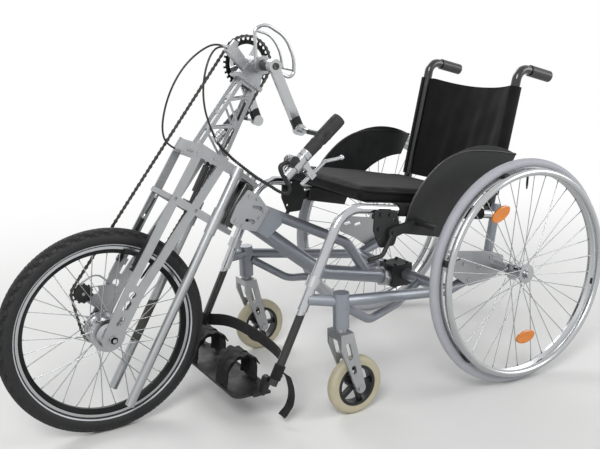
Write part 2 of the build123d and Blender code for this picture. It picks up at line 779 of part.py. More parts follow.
def fork_crown():
    top_window = [Pos(-62, 0) * Rectangle(26, 44), Pos(-134, -37) * Rectangle(60, 18), Pos(-140, 37) * Rectangle(50, 18)]
    low_window = [Pos(-150, 0) * Rectangle(56, 76)]
    top = extrude(Plane.XY.offset(crown_top_s) * crown_face(top_window), amount=crown_thickness)
    low = extrude(Plane.XY.offset(crown_bottom_s - crown_thickness) * crown_face(low_window), amount=crown_thickness)
    stem = rod((0, 0, crown_bottom_s - crown_thickness), (0, 0, crown_top_s + crown_thickness), stem_radius)
    nut = rod((0, 0, crown_top_s + crown_thickness), (0, 0, crown_top_s + crown_thickness + 12), 15)
    front = Pos(-crown_front_p + 9, 0, crown_top_s - 11) * Box(18, 2 * blade_inner, 24)
    clip = Pos(*sp(112, -50, crown_top_s + crown_thickness + 4)) * Box(12, 10, 9)
    screws = [rod(sp(crown_front_p, y, crown_top_s - 10), sp(crown_front_p + 2, y, crown_top_s - 10), 3)
              for y in (-40, -28, -16)]
    shapes = [top, low, stem, nut, front, clip, *screws]
    sleeves = [stand_rod(-130, 130, stand_sleeve, side) for side in (-1, 1)]
    crown = whole(shapes)
    for sleeve in sleeves:
        crown = crown - sleeve
    return crown


def fork_blade():
    """Two flat rails that meet in a pierced foot, with a bar at the top and one across."""
    front = unit_face((193, 60), (193 - rail_width, 60), (152, -300), (174, -300))
    rear = unit_face((105 + rail_width, 60), (105, 60), (124, -290), (146, -290))
    foot = unit_face((124, -284), (174, -284), (166, -360), (157, -432), (147, -442), (122, -442), (114, -430),
                     (118, -370))
    top_bar = unit_face((193, 74), (66, 74), (66, 52), (193, 44))
    cross_bar = unit_face((184, -58), (56, -58), (56, -76), (184, -76))
    face = front + rear + foot + top_bar + cross_bar
    cuts = [Pos(-148, -308) * Circle(9), Pos(-146, -336) * Rot(0, 0, 86) * SlotOverall(28, 15),
            Pos(-141, -374) * Rot(0, 0, 84) * SlotOverall(26, 11), Pos(-177, -66) * Circle(4.5),
            Pos(-116, -66) * Circle(4.5), Pos(-fork_offset, -fork_drop) * Circle(front_axle_radius)]
    blade = slab(face - cuts, -blade_outer, -blade_inner)
    p, y, s = brake_pivot
    block = Pos(*sp(p, (y - 8 - blade_inner) / 2 + 8, s)) * Box(2 * brake_post_block, blade_inner + y + 8, 16)
    post = rod(sp(p, y, s), sp(p + brake_post_block + 12, y, s), brake_pivot_radius)
    return whole([blade - stand_rod(-130, 130, stand_sleeve), block, post])


save("fork_crown", unit_place * fork_crown())
save("fork_blades", *both(unit_place * fork_blade()))
save("front_axle", unit_place * whole([
    drum(-fork_offset, -fork_drop, front_axle_radius, -74, 74),
    drum(-fork_offset, -fork_drop, 9.5, -70, -blade_outer), drum(-fork_offset, -fork_drop, 9.5, blade_outer, 70)]))

clamp_sleeves = [stand_rod(low, high, stand_sleeve, side) - stand_rod(-130, 130, stand_radius + running, side)
                 for side in (-1, 1) for low, high in ((-98, -34), (48, 73))]
save("stand_clamps", *[unit_place * sleeve for sleeve in clamp_sleeves])


def stand(side):
    tube = stand_rod(stand_foot[1], stand_top[1], stand_radius, side) - stand_rod(
        stand_foot[1] + 6, stand_top[1] + 1, stand_radius - stand_wall, side)
    return unit_place * tube


save("stand_left", stand(-1))
save("stand_right", stand(1))


def steering_damper():
    low, high = (109, 0, crown_bottom_s), (123, 0, crown_top_s)
    run = sp(*high) - sp(*low)
    body = rod(sp(*low) + run * 0.30, sp(*low) + run * 0.86, 9)
    shaft = rod(sp(*low) + run * 0.02, sp(*low) + run * 0.98, 4)
    feet = Pos(*(sp(109, 0, crown_bottom_s + 5))) * Box(34, 26, 10)
    cap = Pos(*(sp(123, 0, crown_top_s - 4))) * Box(22, 20, 8)
    return whole([body, shaft, feet, cap])


save("steering_damper", unit_place * steering_damper())


# Rim brake: two arms on the blades, one pad each


def brake_arm():
    """The left arm, on a post that points forward, so that its pad swings in to the rim's side."""
    p, y, s = brake_pivot
    front = p + brake_post_block + running
    boss = rod(sp(front, y, s), sp(front + 10, y, s), 8)
    arm = Pos(*sp(front + 5, y, (s + brake_top_s) / 2)) * Box(9, 10, brake_top_s - s)
    pad_p, pad_y = front + 5, -front_rim_width / 2 - pad_gap
    pad_radius = front_rim_outer - pad_depth
    pad_turn = math.degrees(math.asin((pad_p - fork_offset) / pad_radius))
    pad_s = -fork_drop + pad_radius * math.cos(math.radians(pad_turn))
    holder = rod(sp(pad_p, y, pad_s), sp(pad_p, pad_y - 5, pad_s), 4)
    pad = Pos(*sp(pad_p, pad_y - 4, pad_s)) * Rot(0, -pad_turn, 0) * Box(52, 8, 9)
    hole = rod(sp(p, y, s), sp(p + 40, y, s), brake_pivot_radius + running)
    return whole([boss, arm, holder, pad]) - hole


brake_left = unit_place * brake_arm()
save("brake_arm_left", brake_left)
save("brake_arm_right", mirror(brake_left, about=Plane.XZ))


# Front wheel

def front_hub():
    shell, flange, y = front_hub_shell, front_flange_radius, front_flange_y
    driver = hub_driver_radius
    bore = front_axle_radius + running
    body = revolve(Polygon((bore, -50), (13, -50), (13, -44), (24, -40), (30, -y - 3), (flange, -y - 3),
                           (flange, -y + 3), (shell - 5, -y + 6), (shell, 0), (shell, y - 4), (flange, y - 3),
                           (flange, y + 3), (22, y + 4), (driver, 39), (driver, 48), (13, 48), (13, 51),
                           (bore, 51), align=None), axis=Axis.Y)
    return whole([body, *lace(front_spokes, flange - 3, y, front_rim_inner, 34)])


def on_axle(shape):
    return unit_place * Pos(*front_axle_place) * shape


save("front_tyre", on_axle(tyre(front_wheel_radius, front_tyre_section, front_rim_outer)))
save("front_rim", on_axle(rim(front_rim_outer, front_rim_inner, front_rim_width)))
save("front_hub", on_axle(front_hub()))
save("hub_sprocket", on_axle(sprocket(hub_teeth, chain_y - tooth_thickness / 2)
                             - drum(0, 0, hub_driver_radius, 0, 99)))


# Drive

def chain():
    """A closed band that follows the chain's line just outside the tooth tips."""
    wheels = [(crank_p, crank_s, chainring_teeth), (pulley_p, pulley_s, pulley_teeth),
              (fork_offset, -fork_drop, hub_teeth)]
    loops = []
    for grow in (chain_gap, chain_gap + chain_height):
        edges = [edge for p, s, teeth in wheels
                 for edge in (Pos(-p, s) * Circle(tooth_tip(teeth) + grow)).edges()]
        loops.append(make_hull(edges))
    return slab(loops[1] - loops[0], chain_y - chain_width / 2, chain_y + chain_width / 2)


save("chain", unit_place * chain())

pulley_pin_radius = 4.0
pulley_bore = drum(0, 0, pulley_pin_radius + running, 0, 99)
pulley = sprocket(pulley_teeth, chain_y - tooth_thickness / 2) + drum(0, 0, 10, chain_y - 5, chain_y + 5)
save("guide_pulley", unit_place * Pos(-pulley_p, 0, pulley_s) * (pulley - pulley_bore))


def chain_tensioner():
    """A bracket on the right blade that holds the guide pulley."""
    y_low, y_high = chain_y + 6, blade_inner
    face = make_hull([*(Pos(-pulley_p, pulley_s) * Circle(13)).edges(),
                      *(Pos(-150, -330) * Circle(17)).edges(), *(Pos(-150, -372) * Circle(12)).edges()])
    face = face - Pos(-186, -346) * Circle(9)
    pin = drum(-pulley_p, pulley_s, pulley_pin_radius, chain_y - 7, y_high)
    guard = pipe([sp(231, y_low + 1.8, -357), sp(206, y_low + 1.8, -308), sp(152, y_low + 1.8, -318)], 2.2, 26)
    return whole([slab(face, y_low, y_high), pin, guard])


save("chain_tensioner", unit_place * chain_tensioner())


def crank_axle():
    """The axle with a plain cover sleeve on each side."""
    axle = drum(-crank_p, crank_s, crank_axle_radius, -arm_inner_y - 20, arm_inner_y + 20)
    covers = [drum(-crank_p, crank_s, 13, -arm_inner_y, -46), drum(-crank_p, crank_s, 13, 52, arm_inner_y)]
    return whole([axle, *covers])


def crank_arm():
    """The left arm, hanging straight down from the axle before it is turned to its place."""
    inner, outer = arm_inner_y + 2, arm_inner_y + 2 + arm_splay
    side = Plane.YZ * Polygon((-inner, 0), (-inner - arm_thickness, 0), (-outer - arm_thickness, -crank_length),
                              (-outer, -crank_length), align=None)
    blade = extrude(side, amount=arm_width / 2, both=True)
    blade = chamfer(blade.edges().filter_by(Axis.Z, tolerance=12), 3)
    top = drum(0, 0, 16.5, -arm_inner_y - 20, -arm_inner_y)
    tip = drum(0, -crank_length, 13.5, -outer - arm_thickness - 4, -outer + 2)
    spindle = drum(0, -crank_length, spindle_radius, -grip_y - 18, -outer)
    arm = whole([blade, top, tip, spindle]) - drum(0, 0, crank_axle_radius, -arm_inner_y - 30, 0)
    return Pos(-crank_p, 0, crank_s) * Rot(0, -crank_angle, 0) * arm


left_arm = unit_place * crank_arm()
save("crank_axle", unit_place * crank_axle())
save("crank_arms", *both(left_arm))


def chainring():
    teeth = sprocket(chainring_teeth, chain_y - tooth_thickness / 2)
    pitch_radius = chain_pitch / (2 * math.sin(math.pi / chainring_teeth))
    y_low, y_high = chain_y - tooth_thickness / 2, chain_y + tooth_thickness / 2
    ring = teeth - drum(0, 0, pitch_radius - 14, y_low - 1, y_high + 1)
    arms = [slab(Rot(0, 0, 72 * k + 18) * Pos((pitch_radius - 4) / 2, 0) * Rectangle(pitch_radius - 4, 12),
                 y_low, y_high) for k in range(5)]
    boss = drum(0, 0, 16, chain_y - 6, chain_y + 6)
    return whole([ring, *arms, boss]) - drum(0, 0, crank_axle_radius, 0, 99)


save("chainring", unit_place * Pos(-crank_p, 0, crank_s) * chainring())


def crank_bracket():
    """The crank's bearing shell on a plate, with the arm that carries the cables."""
    plate = Pos(-142, 0, mast_top_s + 5) * Box(74, 46, 10)
    web_face = make_hull([*(Pos(-crank_p, crank_s) * Circle(19)).edges(),
                          *unit_face((172, 268), (112, 268), (112, 274), (172, 274)).edges()])
    web = slab(web_face, -16, 16)
    shell = drum(-crank_p, crank_s, 19, -44, 38)
    flange = drum(-crank_p, crank_s, 22, -45, -40)
    arm = slab(unit_face((150, 302), (216, 320), (232, 312), (230, 298), (160, 282)), -9, 9)
    guide = slab(unit_face((208, 314), (226, 312), (224, 332), (212, 332)), -5, 5)
    bore = drum(-crank_p, crank_s, crank_axle_radius + running, -50, 50)
    return whole([plate, web, shell, flange, arm, guide]) - bore


bracket = crank_bracket()
save("crank_bracket", unit_place * bracket)


def guard_hoop():
    """A bent rod beside the chainring, with a thinner one inside it, joined by bars."""
    outer = [sp(p, hoop_y, s) for p, s in (
        (158, 304), (212, 377), (188, 400), (128, 405), (80, 375), (60, 344), (68, 329), (126, 321))]
    inner = [sp(p, 2, s) for p, s in ((190, 382), (147, 397), (106, 382), (74, 350))]
    near = pipe(outer, 4.2, bend_radii(outer))
    far = pipe(inner, 3.2, bend_radii(inner))
    bars = [rod(sp(190, 2, 382), sp(198, hoop_y, 388), 3.2), rod(sp(74, 2, 350), sp(66, hoop_y, 351), 3.2)]
    feet = [Pos(*sp(162, hoop_y + 2, 308)) * Box(14, 10, 12), Pos(*sp(126, hoop_y + 2, 320)) * Box(14, 10, 12)]
    return whole([near, far, *bars, *feet]) - bracket


save("guard_hoop", unit_place * guard_hoop())


def mast():
    """A box mast of cut sheet: two trussed sides, a slotted front and a back with two long windows."""
    low, high = mast_bottom_s, mast_top_s

    def rail_point(ends, s):
        return ends[0] + (ends[1] - ends[0]) * (s - low) / (high - low), s

    front = [rail_point(mast_front_p, s) for s in (low, high)]
    rear = [rail_point(mast_rear_p, s) for s in (low, high)]
    face = strip(front[0], front[1], 9) + strip(rear[0], rear[1], 9)
    for front_s, rear_s in ((202, 240), (202, 163), (122, 163), (122, 84)):
        face = face + strip(rail_point(mast_front_p, front_s), rail_point(mast_rear_p, rear_s), 5)
    face = face + strip((front[0][0], low + 4), (rear[0][0], low + 4), 8)
    face = face + strip((front[1][0], high - 4), (rear[1][0], high - 4), 8)
    keep = unit_face((200, low), (60, low), (60, high), (200, high))
    face = face & keep
    y = mast_half_width
    sides = [slab(face, -y, mast_sheet - y), slab(face, y - mast_sheet, y)]
    front_sheet = slab(strip(front[0], front[1], mast_sheet) & keep, -y, y)
    rear_sheet = slab(strip(rear[0], rear[1], mast_sheet) & keep, -y, y)
    slots = []
    for s in (102, 146, 190, 234):
        slots.append(Pos(*sp(166, 0, s)) * Rot(0, 90, 0) * extrude(SlotOverall(34, 13), amount=30, both=True))
    cut = whole(slots) & slab(unit_face((200, 60), (145, 60), (145, 280), (200, 280)), -y, y)
    windows = []
    for s in (124, 202):
        windows.append(Pos(*sp(110, 0, s)) * Rot(0, 90, 0) * extrude(SlotOverall(62, 24), amount=30, both=True))
    rear_cut = whole(windows) & slab(unit_face((140, 60), (70, 60), (70, 280), (140, 280)), -y, y)
    return whole([*sides, front_sheet - cut, rear_sheet - rear_cut])


save("mast", unit_place * mast())


# Handles, upright along Z before they are leaned and set on their spindles

def spindle_place(side):
    p = crank_p - crank_length * math.sin(math.radians(crank_angle))
    s = crank_s - crank_length * math.cos(math.radians(crank_angle))
    return unit_place * Pos(-p, side * grip_y, s) * Rot(0, grip_lean, 0)


def handle_body():
    core = rod((0, 0, -96), (0, 0, grip_top - 4), grip_core)
    collars = [rod((0, 0, low), (0, 0, high), 14.5) for low, high in ((-72, grip_bottom), (-92, -76))]
    cross = drum(0, 0, grip_core, -16, 16)
    bore = drum(0, 0, spindle_radius + running, -40, 40)
    return [core, cross, *collars], bore


def handle_right():
    shapes, bore = handle_body()
    return whole(shapes) - bore


def handle_left():
    """The right handle's body with the gear drum, the cable boot and the lever's clamp."""
    shapes, bore = handle_body()
    ring = rod((0, 0, -107), (0, 0, -92), 17)
    dial = drum(-15, -99, 12.5, -15, 15)
    tail = rod((0, 0, -135), (0, 0, -105), 12.5)
    boot = pipe([(-18, 0, -102), (-27, 0, -128), (19, 0, -140)], 6, 12)
    clamp_face = make_hull([*(Pos(14, -80) * Circle(8)).edges(), *(Pos(32, -82) * Circle(5)).edges()])
    clamp = slab(clamp_face, -8, 8)
    fork = [slab(Pos(lever_n - 5, lever_t) * Rectangle(24, 16), y, y + 3) for y in (-8, 5)]
    pin = drum(lever_n, lever_t, 3, -9, 9)
    return whole([*shapes, ring, dial, tail, boot, clamp, *fork, pin]) - bore


def grip():
    sleeve = rod((0, 0, grip_bottom), (0, 0, grip_top), grip_radius)
    sleeve = sleeve - rod((0, 0, -99), (0, 0, grip_top - 4), grip_core)
    return sleeve - drum(0, 0, grip_core, -40, 40)


def brake_lever():
    """A lever on the handle's pin, its blade running up beside the grip."""
    hub_part = drum(lever_n, lever_t, 7.5, -4.7, 4.7)
    blade = pipe([(lever_n, 0, lever_t), (48, 0, -62), (49, 0, -36), (66, 0, -12), (75, 0, 2)], 4.2, 9)
    tail = rod((lever_n, 0, lever_t), (45, 0, -117), 4.6)
    ball = Pos(75, 0, 2) * Sphere(6)
    return whole([hub_part, blade, tail, ball]) - drum(lever_n, lever_t, 3 + running, -9, 9)


save("handle_left", spindle_place(-1) * handle_left())
save("handle_right", spindle_place(1) * handle_right())
save("grip_left", spindle_place(-1) * grip())
save("grip_right", spindle_place(1) * grip())
save("brake_lever", spindle_place(-1) * brake_lever())


# Cables, held by the unit

def brake_cable():
    points = [sp(*point) for point in (
        (232, 4, 306), (256, 5, 302), (279, 7, 268), (294, 10, 218), (294, 14, 162), (280, 18, 104),
        (256, 21, 56), (226, 23, 36), (194.5, 24, 41))]
    lower = [sp(*point) for point in ((178, 41, -74.5), (177, 41.5, -92), (176, 43, -114), (176, 46, -141))]
    return [cable("brake_cable", points, cable_radius), cable("brake_cable_lower", lower, cable_radius)]


def gear_cable():
    plain = [sp(*point) for point in (
        (232, -4, 306), (252, -5, 297), (260, -7, 268), (250, -10, 222), (226, -14, 174), (188, -19, 132),
        (141, -23, 102))]
    wrapped = [sp(*point) for point in (
        (141, -23, 102), (98, -30, 89), (66, -48, 83), (52, -82, 76), (45, -122, 70), (40, -160, 67),
        (23, -194, 62), (12.5, -214, 66), (15, -218, 78), (25.3, -218, 84.3))]
    return [cable("gear_cable", plain, cable_radius), cable("gear_cable_wrap", wrapped, wrap_radius)]


save("cables", *[unit_place * piece for piece in brake_cable() + gear_cable()])
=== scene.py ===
import math

import bmesh
import bpy
import numpy as np
from bpy.props import FloatProperty, FloatVectorProperty, IntProperty, PointerProperty
from mathutils import Euler, Matrix, Vector


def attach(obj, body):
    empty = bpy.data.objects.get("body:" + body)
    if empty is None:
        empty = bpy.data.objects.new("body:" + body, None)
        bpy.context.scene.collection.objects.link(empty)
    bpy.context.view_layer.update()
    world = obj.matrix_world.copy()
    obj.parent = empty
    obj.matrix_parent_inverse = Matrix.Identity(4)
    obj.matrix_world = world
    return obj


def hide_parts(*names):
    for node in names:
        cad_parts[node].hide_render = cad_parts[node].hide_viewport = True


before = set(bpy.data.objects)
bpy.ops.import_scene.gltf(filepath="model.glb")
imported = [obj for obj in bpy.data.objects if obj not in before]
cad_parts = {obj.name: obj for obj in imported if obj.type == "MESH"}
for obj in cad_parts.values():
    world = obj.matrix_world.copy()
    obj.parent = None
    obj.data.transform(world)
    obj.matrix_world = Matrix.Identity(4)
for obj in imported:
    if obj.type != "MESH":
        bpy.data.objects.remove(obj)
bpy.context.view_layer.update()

bl_info = {
    "name": "Handcycle dressing",
    "version": (1, 0, 0),
    "blender": (4, 5, 0),
    "location": "3D View > Sidebar > Handcycle",
    "description": "Tyres, chain, cloth, cables and finishes round the packed handcycle",
    "category": "Object",
}

MM = 0.001

# The part's own sizes, in millimetres
REAR_AXLE_X = 483.5
REAR_AXLE_Z = 297.826
HALF_TRACK = 319.0
CAMBER = math.radians(2.0)
REAR_TYRE_MAJOR = 285.5
REAR_TYRE_MINOR = 12.5
REAR_RIM_INNER = 261.0
REAR_RIM_OUTER = 277.0
HANDRIM_RADIUS = 266.0
FRONT_TYRE_MAJOR = 226.5
FRONT_TYRE_MINOR = 23.5
FRONT_RIM_INNER = 191.0
FRONT_RIM_OUTER = 209.0
FORK_DROP = 417.4
FORK_OFFSET = 135.5
FRAME_HALF_WIDTH = 209.0
POST_HALF_WIDTH = 183.0
CRANK_P, CRANK_S = 145.0, 315.0
CRANK_LENGTH, CRANK_ANGLE = 163.0, math.radians(56.6)
GRIP_Y = 218.0
GRIP_LEAN = math.radians(15.1)
RAIL_SLOPE = math.atan2(83.0, 476.0)
POST_LEAN = math.atan2(88.0, 366.0)
FOOT_D, FOOT_Z = 683.59, 109.0
FOOTPLATE_TOP = 86.0
FOOT_RUN = Vector((-119.0, 0.0, -235.0)).normalized()


def millimetres(*values):
    return Vector(values) * MM


def chair(d, y, z):
    """A chair place: d forward of the rear axle."""
    return millimetres(REAR_AXLE_X - d, y, z)


UNIT = Matrix.Translation(millimetres(-176.535, 0, 508.037)) @ Matrix.Rotation(math.radians(36.0), 4, "Y")
SEAT = Matrix.Translation(chair(2, 0, 432)) @ Matrix.Rotation(RAIL_SLOPE, 4, "Y")
BACK = Matrix.Translation(chair(-14, 0, 446)) @ Matrix.Rotation(POST_LEAN, 4, "Y")
FRONT_AXLE = UNIT @ Matrix.Translation(millimetres(-FORK_OFFSET, 0, -FORK_DROP))
CRANK = UNIT @ Matrix.Translation(millimetres(-CRANK_P, 0, CRANK_S))
LYING_Y = Matrix.Rotation(math.radians(90), 4, "X")


def unit(p, y, s):
    """A unit place: p forward of the steering axis, s up along it."""
    return UNIT @ millimetres(-p, y, s)


def wheel_place(side):
    """A rear wheel's frame, its axle along Y. side is -1 for left and 1 for right."""
    return Matrix.Translation(millimetres(REAR_AXLE_X, side * HALF_TRACK, REAR_AXLE_Z)) @ Matrix.Rotation(
        side * CAMBER, 4, "X")


def spindle_place(side):
    p = CRANK_P - CRANK_LENGTH * math.sin(CRANK_ANGLE)
    s = CRANK_S - CRANK_LENGTH * math.cos(CRANK_ANGLE)
    return UNIT @ Matrix.Translation(millimetres(-p, side * GRIP_Y, s)) @ Matrix.Rotation(GRIP_LEAN, 4, "Y")


def linear(hex_colour):
    """A hex colour as it is written for a screen, turned to the linear values that Blender mixes."""
    channels = [int(hex_colour[i:i + 2], 16) / 255 for i in (1, 3, 5)]
    return tuple(c / 12.92 if c <= 0.04045 else ((c + 0.055) / 1.055) ** 2.4 for c in channels)


def rgba(colour):
    return (*colour[:3], 1.0)


# Settings a user would change

def colour_setting(name, description, hex_colour):
    return FloatVectorProperty(name=name, description=description, subtype="COLOR", size=3, min=0.0, max=1.0,
                               default=linear(hex_colour))


def length_setting(name, description, millimetre_default):
    return FloatProperty(name=name, description=description, default=millimetre_default * MM, min=0.0,
                         unit="LENGTH", precision=5)


class HandcycleColours(bpy.types.PropertyGroup):
    """The colours of the finishes."""
    frame_paint: colour_setting("Frame paint", "Silver-grey paint of the chair frame", "#8b9098")
    silver: colour_setting("Silver", "Anodised aluminium of the front unit", "#a9abad")
    polished: colour_setting("Polished alloy", "Rims, push rims and cranks", "#b6b8ba")
    chrome: colour_setting("Chrome", "Plated front tubes of the chair", "#bec0c3")
    dark_steel: colour_setting("Dark steel", "Chain, sprockets and crank axle", "#4b4a48")
    black_paint: colour_setting("Black paint", "Footrest tubes and back posts", "#090a0b")
    black_plastic: colour_setting("Black plastic", "Clamps, guards and boards", "#0f1011")
    cloth: colour_setting("Cloth", "Seat and back cloth", "#0b0b0c")
    webbing: colour_setting("Webbing", "Foot and heel straps", "#0a0a0b")
    grey_tyre: colour_setting("Rear tyre", "Non-marking rubber of the rear tyres", "#abacb3")
    black_tyre: colour_setting("Front tyre", "Rubber of the front tyre", "#0f0f11")
    tyre_stripe: colour_setting("Tyre stripe", "Pale line on the front tyre's wall", "#b9bcc0")
    caster_tyre: colour_setting("Caster tyre", "Cream rubber of the casters", "#b9b198")
    grip: colour_setting("Grip", "Dark rubber of the hand grips", "#222224")
    reflector: colour_setting("Reflector", "Amber of the spoke reflectors", "#d97c0c")


class HandcycleSizes(bpy.types.PropertyGroup):
    """The sizes of the details."""
    tread_height: length_setting("Tread height", "Height of the front tyre's blocks", 1.6)
    tread_rows: IntProperty(name="Tread rows", description="Rows of blocks round the front tyre", default=132,
                            min=48, max=240)
    chain_pitch: length_setting("Chain pitch", "Distance between two chain pins", 12.7)
    wrap_pitch: length_setting("Wrap pitch", "Distance between two turns of the cable's spiral wrap", 7.0)
    cushion_swell: length_setting("Cushion swell", "Most that a point of the cushion may move as it fills", 7.0)
    stitch_spacing: length_setting("Stitch spacing", "Distance between two stitches", 9.0)
    knurl_depth: length_setting("Knurl depth", "Depth of the gear drum's ribs", 0.9)


def colours():
    return bpy.context.scene.handcycle_colours


def sizes():
    return bpy.context.scene.handcycle_sizes


# Materials

def add_node(material, kind, settings=None, links=None):
    """Add one shader node, give its sockets or properties their values, and link its inputs."""
    made = material.node_tree.nodes.new(kind)
    for key, value in (settings or {}).items():
        if isinstance(key, int) or key in made.inputs:
            made.inputs[key].default_value = value
        else:
            setattr(made, key, value)
    for key, source in (links or {}).items():
        material.node_tree.links.new(source, made.inputs[key])
    return made


def begin(name, colour, roughness, metallic=0.0, **sockets):
    """A material with its shader, and the object's own coordinates in metres."""
    material = bpy.data.materials.new(name)
    material.use_nodes = True
    shader = material.node_tree.nodes["Principled BSDF"]
    shader.inputs["Base Color"].default_value = rgba(colour)
    shader.inputs["Roughness"].default_value = roughness
    shader.inputs["Metallic"].default_value = metallic
    for key, value in sockets.items():
        shader.inputs[key.replace("_", " ")].default_value = value
    where = add_node(material, "ShaderNodeTexCoord").outputs["Object"]
    return material, shader, where


def join_to(material, source, shader, socket):
    material.node_tree.links.new(source, shader.inputs[socket])


def mottle(material, shader, where, low, high, size, low_rough, high_rough, stretch=(1, 1, 1)):
    """Two tones and two roughnesses in soft patches of a real size in millimetres."""
    moved = add_node(material, "ShaderNodeMapping", {"Scale": stretch}, {"Vector": where})
    noise = add_node(material, "ShaderNodeTexNoise", {"Scale": 1 / (size * MM), "Detail": 4.0, "Roughness": 0.6},
                     {"Vector": moved.outputs[0]})
    tone = add_node(material, "ShaderNodeMix", {"data_type": "RGBA", 6: rgba(low), 7: rgba(high)},
                    {0: noise.outputs["Fac"]})
    rough = add_node(material, "ShaderNodeMapRange", {"From Min": 0.3, "From Max": 0.7, "To Min": low_rough,
                                                      "To Max": high_rough}, {"Value": noise.outputs["Fac"]})
    join_to(material, tone.outputs[2], shader, "Base Color")
    join_to(material, rough.outputs[0], shader, "Roughness")
    return tone.outputs[2], rough.outputs[0]


def bump(material, shader, height, depth, strength=1.0):
    """Raise a pattern by a depth in millimetres."""
    made = add_node(material, "ShaderNodeBump", {"Strength": strength, "Distance": depth * MM}, {"Height": height})
    join_to(material, made.outputs["Normal"], shader, "Normal")
    return made


def grain(material, where, size, detail=3.0, stretch=(1, 1, 1)):
    moved = add_node(material, "ShaderNodeMapping", {"Scale": stretch}, {"Vector": where})
    return add_node(material, "ShaderNodeTexNoise", {"Scale": 1 / (size * MM), "Detail": detail},
                    {"Vector": moved.outputs[0]}).outputs["Fac"]


def tint(colour, factor):
    return tuple(min(1.0, max(0.0, c * factor)) for c in colour[:3])


def seen_from(material, where, place):
    """Coordinates in a place's own frame."""
    inverse = place.inverted()
    return add_node(material, "ShaderNodeMapping", {"vector_type": "POINT", "Location": inverse.to_translation(),
                                                    "Rotation": inverse.to_euler()}, {"Vector": where}).outputs[0]


def radius_from(material, where, place):
    """Distance in metres from an axle that lies along a place's Y."""
    flat = add_node(material, "ShaderNodeVectorMath", {"operation": "MULTIPLY", 1: (1.0, 0.0, 1.0)},
                    {0: seen_from(material, where, place)})
    return add_node(material, "ShaderNodeVectorMath", {"operation": "LENGTH"}, {0: flat.outputs[0]}).outputs["Value"]


def height_of(material, where, axis=2):
    return add_node(material, "ShaderNodeSeparateXYZ", {}, {0: where}).outputs[axis]


def between(material, value, low, high):
    """1 where a value lies between two numbers."""
    above = add_node(material, "ShaderNodeMath", {"operation": "GREATER_THAN", 1: low}, {0: value})
    below = add_node(material, "ShaderNodeMath", {"operation": "LESS_THAN", 1: high}, {0: value})
    return add_node(material, "ShaderNodeMath", {"operation": "MULTIPLY"},
                    {0: above.outputs[0], 1: below.outputs[0]}).outputs[0]


def paint_over(material, shader, mask, colour, roughness, metallic=None):
    """Change colour, roughness and, if given, metal where a mask is 1."""
    for socket, value in (("Base Color", rgba(colour)), ("Roughness", roughness), ("Metallic", metallic)):
        if value is None:
            continue
        target = shader.inputs[socket]
        if socket == "Base Color":
            mixed = add_node(material, "ShaderNodeMix", {"data_type": "RGBA", 6: target.default_value, 7: value},
                             {0: mask})
            slots = (6, 7, 2)
        else:
            mixed = add_node(material, "ShaderNodeMix", {"data_type": "FLOAT", 2: target.default_value, 3: value},
                             {0: mask})
            slots = (2, 3, 0)
        if target.is_linked:
            join_to(material, target.links[0].from_socket, mixed, slots[0])
        join_to(material, mixed.outputs[slots[2]], shader, socket)


FINISHES = {}


def finish(name):
    """A finish by name, made the first time it is asked for."""
    if name not in FINISHES:
        FINISHES[name] = MAKERS[name]()
    return FINISHES[name]


def powder_coat():
    """Silver-grey metallic paint: fine flakes under a thin clear coat, slightly wavy."""
    base = colours().frame_paint
    material, shader, where = begin("silver_grey_metallic_paint", base, 0.36, 0.55, Coat_Weight=0.4,
                                    Coat_Roughness=0.14)
    flake = add_node(material, "ShaderNodeTexVoronoi", {"Scale": 1 / (0.9 * MM)}, {"Vector": where})
    tone = add_node(material, "ShaderNodeMix", {"data_type": "RGBA", 6: rgba(tint(base, 0.86)),
                                                7: rgba(tint(base, 1.16))}, {0: flake.outputs["Color"]})
    join_to(material, tone.outputs[2], shader, "Base Color")
    bump(material, shader, grain(material, where, 3.0), 0.03)
    return material


def anodised_silver():
    """Bead-blasted and anodised aluminium: matte silver with faint cloudy handling marks."""
    base = colours().silver
    material, shader, where = begin("anodised_aluminium_satin", base, 0.42, 0.85)
    mottle(material, shader, where, tint(base, 0.9), tint(base, 1.05), 28, 0.36, 0.5)
    bump(material, shader, grain(material, where, 0.7), 0.02)
    return material


def brushed_plate():
    """Cut sheet, brushed along its length before it was anodised."""
    base = colours().silver
    material, shader, where = begin("brushed_aluminium_sheet", base, 0.36, 0.88)
    mottle(material, shader, where, tint(base, 0.88), tint(base, 1.06), 2.2, 0.28, 0.46, (1.0, 1.0, 0.06))
    bump(material, shader, grain(material, where, 0.8, 2.0, (1.0, 1.0, 0.05)), 0.015)
    return material


def polished_alloy():
    """Turned and polished aluminium with fine lathe lines and a few dull patches."""
    base = colours().polished
    material, shader, where = begin("polished_aluminium", base, 0.22, 0.95)
    mottle(material, shader, where, tint(base, 0.97), base, 70, 0.19, 0.26)
    bump(material, shader, grain(material, where, 1.2), 0.004)
    return material


def chrome_plate():
    """Chromed steel tube: bright, with faint smears."""
    base = colours().chrome
    material, shader, where = begin("chromed_steel", base, 0.09, 1.0)
    mottle(material, shader, where, tint(base, 0.94), base, 60, 0.06, 0.16)
    return material


def stainless():
    """Drawn stainless wire and turned fasteners."""
    base = colours().polished
    material, shader, where = begin("stainless_steel", tint(base, 0.85), 0.25, 1.0)
    mottle(material, shader, where, tint(base, 0.84), tint(base, 0.93), 30, 0.22, 0.28)
    return material


def oiled_steel():
    """Hardened steel under chain oil: dark brown-grey, uneven and half shiny."""
    base = colours().dark_steel
    material, shader, where = begin("oiled_chain_steel", base, 0.38, 0.85)
    mottle(material, shader, where, tint(base, 0.5), tint(base, 1.7), 9, 0.26, 0.5)
    bump(material, shader, grain(material, where, 1.5), 0.04)
    return material


